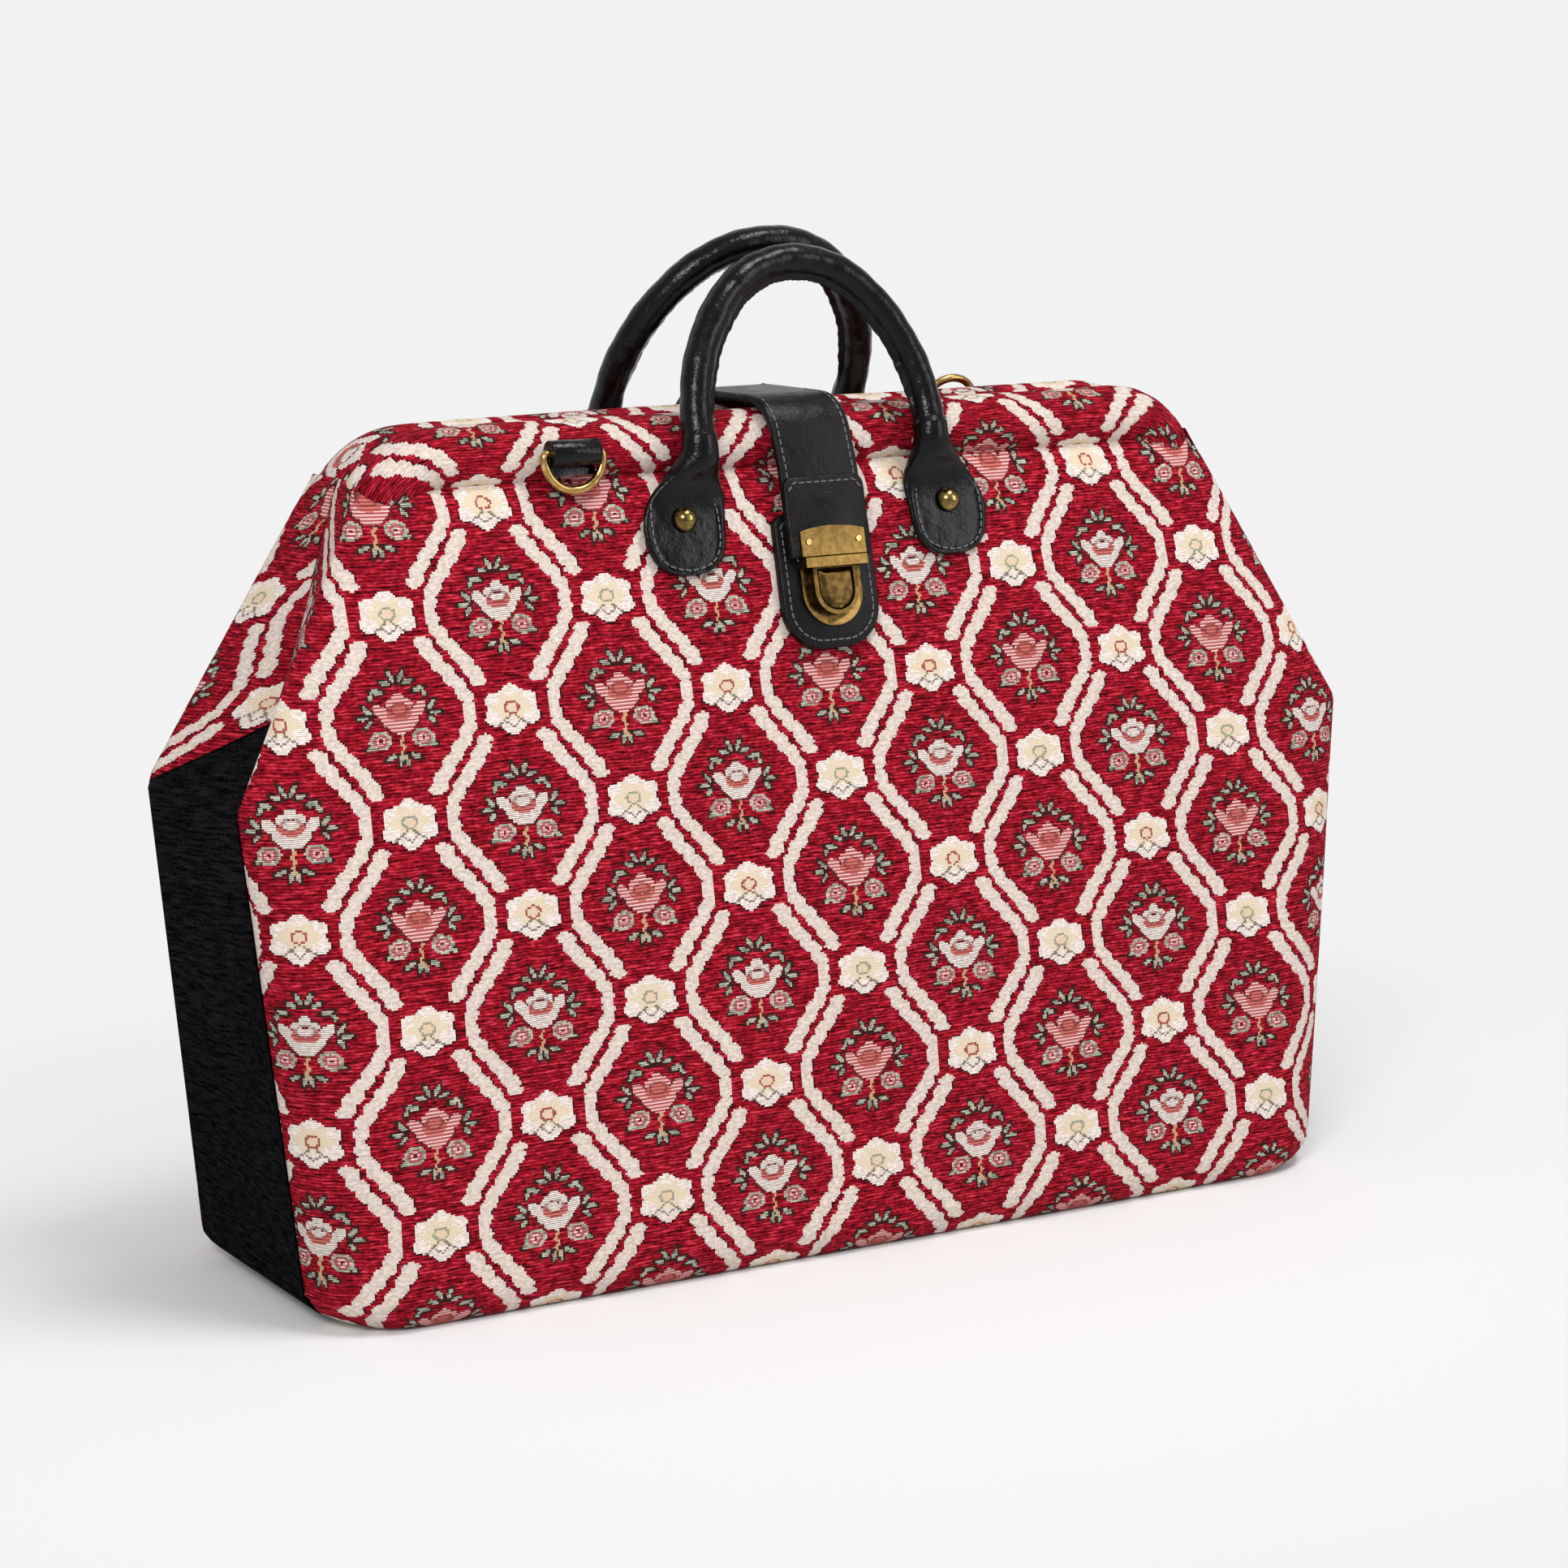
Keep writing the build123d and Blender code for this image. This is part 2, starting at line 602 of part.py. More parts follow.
# rivets: a domed head outside, a shank through leather and cloth, and a burr inside
DOME_BALL = (RIVET_RADIUS**2 + RIVET_DOME**2) / (2 * RIVET_DOME)
RIVET_OUT = 2 * SEAT_GAP + TAB_THICK
RIVET_IN = -TAPESTRY - LINING_GAP - LINING - SEAT_GAP
with BuildPart() as rivets:
    for side in (-1, 1):
        with BuildSketch(face_plane(side * RIVET_X, RIVET_Z, RIVET_IN - RIVET_BURR)):
            Circle(2 * RIVET_SHANK)
        extrude(amount=RIVET_BURR)
        with BuildSketch(face_plane(side * RIVET_X, RIVET_Z, RIVET_IN)):
            Circle(RIVET_SHANK)
        extrude(amount=RIVET_OUT - RIVET_IN)
with BuildPart() as domes:
    for side in (-1, 1):
        with Locations(Location(face_plane(side * RIVET_X, RIVET_Z, RIVET_OUT + RIVET_DOME - DOME_BALL))):
            Sphere(DOME_BALL)
        with Locations(Location(face_plane(side * RIVET_X, RIVET_Z, RIVET_OUT))):
            Box(3 * DOME_BALL, 3 * DOME_BALL, 3 * DOME_BALL, align=(Align.CENTER, Align.CENTER, Align.MAX),
                mode=Mode.SUBTRACT)
with BuildPart() as rivet_pair:
    add(rivets.part)
    add(domes.part)
for turn_back, half in ((False, "front"), (True, "back")):
    save_half(rivet_pair.part, half + "_handle_rivets", turn_back)


def handle_sweep(radius, half_spread, rise, lean, foot, ends):
    """A tube along the handle's arch, lying in a plane that leans in over the bag."""
    lean_angle = radians(lean)
    arch = Plane(
        origin=(0, -PIVOT_Y, PIVOT_Z),
        x_dir=(1, 0, 0),
        z_dir=(0, -cos(lean_angle), sin(lean_angle)))
    turn = radians(HANDLE_SHOULDER_TURN)
    crown = (half_spread - HANDLE_SHOULDER_RADIUS * (1 - cos(turn))) / cos(turn)
    stand = rise - HANDLE_SHOULDER_RADIUS * sin(turn) - crown * (1 - sin(turn))
    with BuildPart() as tube:
        with BuildLine(arch) as path:
            leg = Line((-half_spread, foot), (-half_spread, stand))
            shoulder = JernArc(leg @ 1, (0, 1), HANDLE_SHOULDER_RADIUS, -HANDLE_SHOULDER_TURN)
            top = JernArc(shoulder @ 1, (sin(turn), cos(turn)), crown, 2 * HANDLE_SHOULDER_TURN - 180)
            far = JernArc(top @ 1, (sin(turn), -cos(turn)), HANDLE_SHOULDER_RADIUS, -HANDLE_SHOULDER_TURN)
            Line(far @ 1, (half_spread, foot))
        with BuildSketch(Plane(origin=path.line @ 0, z_dir=path.line % 0)):
            Circle(radius)
        sweep()
        if ends:
            with Locations((-half_spread, -PIVOT_Y, PIVOT_Z), (half_spread, -PIVOT_Y, PIVOT_Z)):
                Sphere(radius)
    return tube.part


# handles: a leather tube rolled round a cord
for turn_back, half, spread, rise, lean in HANDLES:
    with BuildPart() as handle:
        add(handle_sweep(HANDLE_TUBE, spread, rise, lean, 0.0, True))
        add(handle_sweep(HANDLE_BORE, spread, rise, lean, HANDLE_FOOT, False), mode=Mode.SUBTRACT)
    save_half(handle.part, half + "_handle", turn_back)
    core = handle_sweep(HANDLE_CORE, spread, rise, lean, HANDLE_FOOT + SEAT_GAP, False)
    save_half(core, half + "_handle_core", turn_back)

# leather loops that hold the D-rings under the roll
with BuildPart() as loop_tail:
    with BuildSketch(Plane.XZ):
        with Locations((-LOOP_X, LOOP_Z)):
            Rectangle(LOOP_WIDTH, LOOP_TAIL, align=(Align.CENTER, Align.MAX))
    extrude(amount=BIG)
    add(loft_levels(FACE_LEVELS, SEAT_GAP + LOOP_LEATHER), mode=Mode.INTERSECT)
with BuildPart() as loop:
    with BuildSketch(Plane.YZ.offset(-LOOP_X - LOOP_WIDTH / 2)):
        with Locations((-LOOP_Y, LOOP_Z)):
            Circle(LOOP_RADIUS)
    extrude(amount=LOOP_WIDTH)
    add(loop_tail.part)
    add(face_skin, mode=Mode.SUBTRACT)
    add(channel_skin, mode=Mode.SUBTRACT)
    with BuildSketch(Plane.YZ.offset(-LOOP_X - LOOP_WIDTH)):
        with Locations((-LOOP_Y, LOOP_Z)):
            Circle(LOOP_BORE)
    extrude(amount=2 * LOOP_WIDTH, mode=Mode.SUBTRACT)
save(loop.part, "d_ring_loop_front")
save(Rot(0, 0, 180) * loop.part, "d_ring_loop_back")


def d_ring(angle):
    """A D of wire hung by its straight bar on the front loop, turned out from hanging by angle."""
    turn = radians(angle)
    ring_plane = Plane(
        origin=(-LOOP_X, -LOOP_Y, LOOP_Z),
        x_dir=(1, 0, 0),
        z_dir=(0, -cos(turn), sin(turn)))
    with BuildPart() as ring:
        with BuildLine(ring_plane) as path:
            side = RING_HALF_WIDTH
            corner = RING_BAR_CORNER
            bar = Line((corner - side, 0), (side - corner, 0))
            turn_in = RadiusArc(bar @ 1, (side, -corner), corner)
            bow = ThreePointArc(turn_in @ 1, (0, -corner - side), (-side, -corner))
            RadiusArc(bow @ 1, bar @ 0, corner)
        with BuildSketch(Plane(origin=bar @ 0.5, z_dir=bar % 0.5)):
            Circle(RING_WIRE)
        sweep()
    return ring.part


save(d_ring(FRONT_RING_HANG), "d_ring_front")
save(Rot(0, 0, 180) * d_ring(BACK_RING_RAISE), "d_ring_back")

# push lock on a leather patch: all its depths are counted outwards from the patch
PATCH_TOP = SEAT_GAP + PATCH_THICK


def lock_plane(out):
    """A plane over the patch, raised by out from its top."""
    return face_plane(0, LOCK_Z, PATCH_TOP + out)


def shield_solid(low_out, high_out, half_width, down, up):
    """A solid of the shield outline between two depths."""
    with BuildPart() as solid:
        with BuildSketch(lock_plane(low_out)):
            with Locations((0, half_width - down)):
                Rectangle(2 * half_width, up + down - half_width, align=(Align.CENTER, Align.MIN))
                Circle(half_width)
        extrude(amount=high_out - low_out)
    return solid.part


with BuildPart() as lock_patch:
    with BuildSketch(lock_plane(0)) as outline:
        with Locations((0, -PATCH_DOWN)):
            Rectangle(2 * PATCH_HALF_WIDTH, PATCH_UP + PATCH_DOWN, align=(Align.CENTER, Align.MIN))
        low_corners, high_corners = outline.vertices().group_by(Axis.Y)
        fillet(low_corners, PATCH_LOW_CORNER)
        fillet(high_corners, PATCH_CORNER)
    extrude(amount=-2 * PATCH_THICK)
    add(face_skin, mode=Mode.SUBTRACT)
save(lock_patch.part, "lock_patch")

with BuildPart() as lock_base:
    add(shield_solid(SEAT_GAP, PLATE_THICK, PLATE_HALF_WIDTH, PLATE_DOWN, BAR_HIGH))
    add(shield_solid(PLATE_THICK, COLLAR_OUT, COLLAR_HALF_WIDTH, COLLAR_DOWN, BAR_LOW))
    with BuildSketch(lock_plane(SEAT_GAP)):
        with Locations((0, (BAR_LOW + BAR_HIGH) / 2)):
            Rectangle(2 * BAR_HALF_WIDTH, BAR_HIGH - BAR_LOW)
    extrude(amount=BAR_THICK - SEAT_GAP)
    with BuildSketch(lock_plane(SLOT_INNER)):
        with Locations((0, BAR_HIGH - SLOT_DEPTH)):
            Rectangle(2 * SLOT_HALF_WIDTH, 2 * SLOT_DEPTH, align=(Align.CENTER, Align.MIN))
    extrude(amount=SLOT_OUTER - SLOT_INNER, mode=Mode.SUBTRACT)
    add(shield_solid(
        RECESS_FLOOR, BAR_THICK, BUTTON_HALF_WIDTH + BUTTON_CLEARANCE,
        BUTTON_DOWN + BUTTON_CLEARANCE, BUTTON_TOP + BUTTON_CLEARANCE), mode=Mode.SUBTRACT)
save(lock_base.part, "lock_base")

with BuildPart() as lock_button:
    add(shield_solid(BUTTON_LOW, BUTTON_HIGH, BUTTON_HALF_WIDTH, BUTTON_DOWN, BUTTON_TOP))
    outward = Axis((0, 0, 0), lock_plane(0).z_dir)
    chamfer(lock_button.faces().sort_by(outward)[-1].edges(), BUTTON_FACET)
save(lock_button.part, "lock_button")

# closing strap over both rolls: it bends where it leaves its anchor on the back half
LOCK_LEAN = degrees(atan(FACE_LEAN + 3 * FACE_CURVE * LOCK_Z**2))
LOCK_POINT = lock_plane(0).origin
STRAP_TURN = 90 - LOCK_LEAN
TAIL_TURN = 80.5


def strap_solid(start_y, radius, turn, length):
    """A strap from start_y over the front roll and down the face."""
    with BuildPart() as strap:
        with BuildSketch(Plane.YZ):
            with BuildLine():
                top = Line((start_y, CHANNEL_Z + radius), (-STRAP_Y, CHANNEL_Z + radius))
                over = JernArc(top @ 1, (-1, 0), radius, turn)
                PolarLine(over @ 1, length, 180 + turn)
            trace(line_width=STRAP_THICK)
        extrude(amount=STRAP_HALF_WIDTH, both=True)
    return strap.part


lock_up = lock_plane(0).y_dir
over_y = -STRAP_Y - STRAP_RADIUS * cos(radians(LOCK_LEAN))
over_end = Vector(0, over_y, CHANNEL_Z + STRAP_RADIUS * sin(radians(LOCK_LEAN)))
strap_height = (over_end - LOCK_POINT).dot(lock_up)
STRAP_OUT = (over_end - LOCK_POINT).dot(lock_plane(0).z_dir) + STRAP_THICK / 2
HASP_LOW = BAR_HIGH + HASP_GAP
strap_start = STRAP_HINGE_Y - STRAP_END_GAP / 2
save(strap_solid(strap_start, STRAP_RADIUS, STRAP_TURN, strap_height - HASP_LOW), "closing_strap")
tail_length = (CHANNEL_Z + STRAP_RADIUS * cos(radians(TAIL_TURN)) - STRAP_TAIL_Z) / sin(radians(TAIL_TURN))
anchor = strap_solid(-STRAP_HINGE_Y - STRAP_END_GAP / 2, STRAP_RADIUS, TAIL_TURN, tail_length)
save(mirror(anchor, about=Plane.XZ), "strap_anchor")

PATCH_OUT = STRAP_OUT + SEAT_GAP
with BuildPart() as end_patch:
    with BuildSketch(lock_plane(PATCH_OUT)) as outline:
        with Locations((0, HASP_LOW)):
            Rectangle(2 * END_PATCH_HALF_WIDTH, END_PATCH_HIGH - HASP_LOW, align=(Align.CENTER, Align.MIN))
        fillet(outline.vertices().group_by(Axis.Y)[-1], PATCH_CORNER)
    extrude(amount=END_PATCH_THICK)
save(end_patch.part, "strap_end_patch")

HASP_OUT = PATCH_OUT + END_PATCH_THICK + SEAT_GAP / 2
with BuildPart() as hasp_plate:
    with BuildSketch(lock_plane(HASP_OUT)):
        with BuildLine():
            base = Polyline(
                (-HASP_HALF_WIDTH, HASP_HIGH), (-HASP_HALF_WIDTH, HASP_LOW),
                (HASP_HALF_WIDTH, HASP_LOW), (HASP_HALF_WIDTH, HASP_HIGH))
            ThreePointArc(base @ 1, (0, HASP_HIGH + HASP_CROWN), base @ 0)
        make_face()
    extrude(amount=HASP_THICK)
    with BuildSketch(lock_plane(HASP_OUT)):
        with Locations((0, HASP_LOW - TONGUE_DEPTH)):
            Rectangle(2 * TONGUE_HALF_WIDTH, TONGUE_DEPTH, align=(Align.CENTER, Align.MIN))
    extrude(amount=TONGUE_THICK)
save(hasp_plate.part, "hasp_plate")

with BuildPart() as hasp_rivets:
    with BuildSketch(lock_plane(HASP_OUT + HASP_THICK)):
        with Locations((-HASP_RIVET_X, HASP_RIVET_V), (HASP_RIVET_X, HASP_RIVET_V)):
            Circle(HASP_RIVET_RADIUS)
    extrude(amount=HASP_RIVET_HEAD)
save(hasp_rivets.part, "hasp_rivets")
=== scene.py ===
"""Framed tapestry laptop bag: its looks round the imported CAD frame.

Metres in Blender; the numbers below are millimetres in the frame's own axes unless they say otherwise.
"""

import json
import math

import bpy
import numpy as np
from mathutils import Matrix, Vector

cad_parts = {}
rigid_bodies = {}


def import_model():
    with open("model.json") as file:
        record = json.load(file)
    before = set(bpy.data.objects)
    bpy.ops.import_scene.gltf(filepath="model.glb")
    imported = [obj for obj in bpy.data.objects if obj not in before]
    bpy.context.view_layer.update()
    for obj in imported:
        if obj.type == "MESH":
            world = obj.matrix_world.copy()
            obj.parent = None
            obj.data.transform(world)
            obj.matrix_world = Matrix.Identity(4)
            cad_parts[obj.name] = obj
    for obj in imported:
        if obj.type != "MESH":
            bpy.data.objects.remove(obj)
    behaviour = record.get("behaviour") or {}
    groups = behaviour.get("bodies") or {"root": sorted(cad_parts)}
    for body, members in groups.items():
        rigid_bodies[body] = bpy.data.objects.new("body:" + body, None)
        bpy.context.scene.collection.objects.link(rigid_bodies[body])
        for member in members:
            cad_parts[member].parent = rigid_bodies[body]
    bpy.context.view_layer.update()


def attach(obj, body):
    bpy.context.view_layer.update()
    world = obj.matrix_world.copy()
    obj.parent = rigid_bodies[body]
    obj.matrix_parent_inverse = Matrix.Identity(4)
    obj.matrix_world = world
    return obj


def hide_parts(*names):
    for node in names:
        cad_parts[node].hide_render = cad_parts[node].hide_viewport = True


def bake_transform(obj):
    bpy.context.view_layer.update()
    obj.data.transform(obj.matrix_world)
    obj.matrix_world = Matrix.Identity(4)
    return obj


for old in list(bpy.data.objects):
    bpy.data.objects.remove(old)
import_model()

# Measurements of the bag: the same as the CAD part's, so that cloth and solids agree.
# Depths are half depths from the middle, and heights are from the base.
MM = 0.001
SHOULDER_Z = 168.0
TOP_CORNER_Z = 268.0
BOTTOM_Z = 10.0
SEAM_Z = 10.5
PEAK_Z = 192.0
CLOTH_TOP_Z = 266.0
HINGE_Y = 3.6
ROLL_RADIUS = 12.5
ROLL_Y = 13.0
ROLL_Z = 271.5
ROLL_FLAT = 2.0
ROLL_CORNER_X = 152.0
ROLL_BEND = 25.0
HINGE_X = 171.0
BASE_HALF_WIDTH, SHOULDER_HALF_WIDTH, TOP_HALF_WIDTH = 196.0, 213.0, 159.0
BASE_SEAM_DEPTH, SHOULDER_SEAM_DEPTH, TOP_SEAM_DEPTH = 42.0, 37.0, 18.0
HALVES = ((-1, "front"), (1, "back"))


def face_depth(z):
    return 67.0 - 0.080 * z - 1.1e-6 * z**3


def share_up(z):
    return np.clip((z - SHOULDER_Z) / (TOP_CORNER_Z - SHOULDER_Z), 0, 1)


def across_levels(z, base, shoulder, top):
    """A measurement that runs straight from the base to the shoulder, and straight on to the top."""
    lower = base + (shoulder - base) * np.maximum(z, BOTTOM_Z) / SHOULDER_Z
    return np.where(z < SHOULDER_Z, lower, shoulder - (shoulder - top) * share_up(z))


def half_width(z):
    return across_levels(z, BASE_HALF_WIDTH, SHOULDER_HALF_WIDTH, TOP_HALF_WIDTH)


def seam_depth(z):
    return across_levels(z, BASE_SEAM_DEPTH, SHOULDER_SEAM_DEPTH, TOP_SEAM_DEPTH)


def fold_depth(z):
    low = np.clip((z - 40.0) / (SHOULDER_Z - 40.0), 0, 1) ** 1.6
    high = (1 - share_up(z)) ** 1.3
    return 0.6 + 29.4 * np.where(z < SHOULDER_Z, low, high)


def corner_width(z):
    return 32.0 - 8.0 * share_up(z)


def up_the_face(z):
    """Length of cloth from the base line up the middle of the face to height z."""
    steps = np.linspace(0, 1, 200)[:, None] * np.atleast_1d(z)[None, :]
    slope = 0.080 + 3.3e-6 * steps**2
    return np.mean(np.sqrt(1 + slope**2), axis=0) * np.atleast_1d(z)


def ripple(x, y, z, size):
    """Slow, shallow unevenness of cloth, in millimetres."""
    wave = np.sin(x / 37 + 1.3) * np.sin(z / 29 + y / 41) + 0.6 * np.sin(x / 19 - z / 23 + 0.7)
    return size * (wave + 0.35 * np.sin(x / 11 + z / 13 + y / 9))


def new_mesh(name, verts, faces, material, uv=None, smooth=True):
    """A mesh object from points in millimetres; uv is one pair per face corner, in metres."""
    mesh = bpy.data.meshes.new(name)
    mesh.from_pydata([tuple(v) for v in np.asarray(verts, float) * MM], [], faces)
    if uv is not None:
        layer = mesh.uv_layers.new(name="UVMap")
        layer.data.foreach_set("uv", np.asarray(uv, np.float32).ravel())
    mesh.polygons.foreach_set("use_smooth", [smooth] * len(mesh.polygons))
    mesh.materials.append(material)
    obj = bpy.data.objects.new(name, mesh)
    bpy.context.scene.collection.objects.link(obj)
    return obj


def sheet_mesh(name, points, material, uv=None, wrap=False, close_ends=False, flip=False):
    """A mesh over a grid of points; wrap joins the last column to the first."""
    rows, cols = points.shape[:2]
    faces, corners = [], []
    for r in range(rows - 1):
        for c in range(cols if wrap else cols - 1):
            n = (c + 1) % cols
            quad = [r * cols + c, r * cols + n, (r + 1) * cols + n, (r + 1) * cols + c]
            where = [(r, c), (r, c + 1), (r + 1, c + 1), (r + 1, c)]
            if flip:
                quad, where = quad[::-1], where[::-1]
            faces.append(quad)
            corners += where
    if close_ends:
        ring = list(range(cols))
        faces += [ring if flip else ring[::-1]]
        last = [(rows - 1) * cols + k for k in range(cols)]
        faces += [last[::-1] if flip else last]
        corners += [(0, c) for c in ring] + [(rows - 1, c) for c in ring]
    loops = None if uv is None else [uv[r, c] * MM for r, c in corners]
    return new_mesh(name, points.reshape(-1, 3), faces, material, loops)


# Tapestry: red chenille ground with cream twill bands in an ogee trellis, rosettes and rose bunches.
# The motifs are worked out in the shader from the cloth's own coordinates (UV, along and up the cloth),
# which are first cut to the grid of the weave, so that every outline is stepped like woven threads.
COLUMN_PITCH = 39.33
ROW_PITCH = 32.95
FIRST_COLUMN_U = -120.4
TOP_ROW_V = 261.8
FAN_FROM_V = 196.0
FAN_SHIFT = 0.034
FAN_SPREAD = 1.98e-4
THREAD = 0.72
RIB = 1.12


def rgb(r, g, b):
    """A colour given as it looks on screen, 0 to 255."""
    part = [v / 255 for v in (r, g, b)]
    return tuple(p / 12.92 if p <= 0.04045 else ((p + 0.055) / 1.055) ** 2.4 for p in part) + (1.0,)


class Value:
    """A number inside a material's node tree, so that masks can be written as plain arithmetic."""

    def __init__(self, socket):
        self.socket = socket
        self.tree = socket.id_data

    def op(self, name, *others, clamp=False):
        node = self.tree.nodes.new("ShaderNodeMath")
        node.operation = name
        node.use_clamp = clamp
        for slot, other in zip(node.inputs, (self, *others)):
            if isinstance(other, Value):
                self.tree.links.new(other.socket, slot)
            else:
                slot.default_value = other
        return Value(node.outputs[0])

    def __add__(self, other):
        return self.op("ADD", other)

    def __sub__(self, other):
        return self.op("SUBTRACT", other)

    def __mul__(self, other):
        return self.op("MULTIPLY", other)

    def __truediv__(self, other):
        return self.op("DIVIDE", other)

    def less(self, other):
        return self.op("LESS_THAN", other)

    def more(self, other):
        return self.op("GREATER_THAN", other)

    def size(self):
        return self.op("ABSOLUTE")

    def invert(self):
        return (self * -1) + 1

    def either(self, other):
        return self.op("MAXIMUM", other)

    def both(self, other):
        return self.op("MINIMUM", other)

    def choose(self, yes, no):
        """yes where this mask is 1 and no where it is 0."""
        return (yes - no) * self + no

    def fade(self, low, high):
        node = self.tree.nodes.new("ShaderNodeMapRange")
        self.tree.links.new(self.socket, node.inputs["Value"])
        node.inputs["From Min"].default_value = low
        node.inputs["From Max"].default_value = high
        return Value(node.outputs["Result"])


def new_material(name):
    material = bpy.data.materials.new(name)
    material.use_nodes = True
    tree = material.node_tree
    shader = tree.nodes["Principled BSDF"]
    return material, tree, shader


def paint(tree, under, over, mask):
    """The colour over laid on the colour under where mask is 1."""
    node = tree.nodes.new("ShaderNodeMix")
    node.data_type = "RGBA"
    node.clamp_factor = True
    for key, value in (("A_Color", under), ("B_Color", over), ("Factor_Float", mask)):
        slot = next(s for s in node.inputs if s.identifier == key)
        if isinstance(value, Value):
            tree.links.new(value.socket, slot)
        elif isinstance(value, bpy.types.NodeSocket):
            tree.links.new(value, slot)
        else:
            slot.default_value = value
    return next(s for s in node.outputs if s.identifier == "Result_Color")


def noise(tree, scale, detail=2.0, vector=None, stretch=(1, 1, 1)):
    """Noise from 0 to 1, stretched along the axes, on Object coordinates unless a vector is given."""
    place = tree.nodes.new("ShaderNodeMapping")
    place.inputs["Scale"].default_value = stretch
    if vector is None:
        vector = tree.nodes.new("ShaderNodeTexCoord").outputs["Object"]
    tree.links.new(vector, place.inputs["Vector"])
    node = tree.nodes.new("ShaderNodeTexNoise")
    node.inputs["Scale"].default_value = scale
    node.inputs["Detail"].default_value = detail
    tree.links.new(place.outputs["Vector"], node.inputs["Vector"])
    return Value(node.outputs["Fac"])


def bump(tree, shader, height, strength, distance, under=None):
    node = tree.nodes.new("ShaderNodeBump")
    node.inputs["Strength"].default_value = strength
    node.inputs["Distance"].default_value = distance
    tree.links.new(height.socket, node.inputs["Height"])
    if under is not None:
        tree.links.new(under.outputs["Normal"], node.inputs["Normal"])
    tree.links.new(node.outputs["Normal"], shader.inputs["Normal"])
    return node


def snap(value, step):
    """value cut to a grid of that step."""
    return (value / step).op("FLOOR") * step + step / 2


def repeat(value, pitch, shift):
    """Distance from the nearest of a row of centres, pitch apart, one of them at shift."""
    turns = (value - shift) / pitch + 0.5
    return (turns.op("FRACT") - 0.5) * pitch


def ellipse(x, y, at_x, at_y, long, wide, turn):
    """0 in the middle of a turned ellipse and 1 at its edge."""
    c, s = math.cos(math.radians(turn)), math.sin(math.radians(turn))
    along = ((x - at_x) * c + (y - at_y) * s) / long
    across = ((y - at_y) * c - (x - at_x) * s) / wide
    return (along * along + across * across).op("SQRT")


def band_middle(y):
    """How far out an oval's band runs at height y from the oval's middle."""
    return (y * (math.pi / 27.0)).op("COSINE") * 7.3 + 17.5


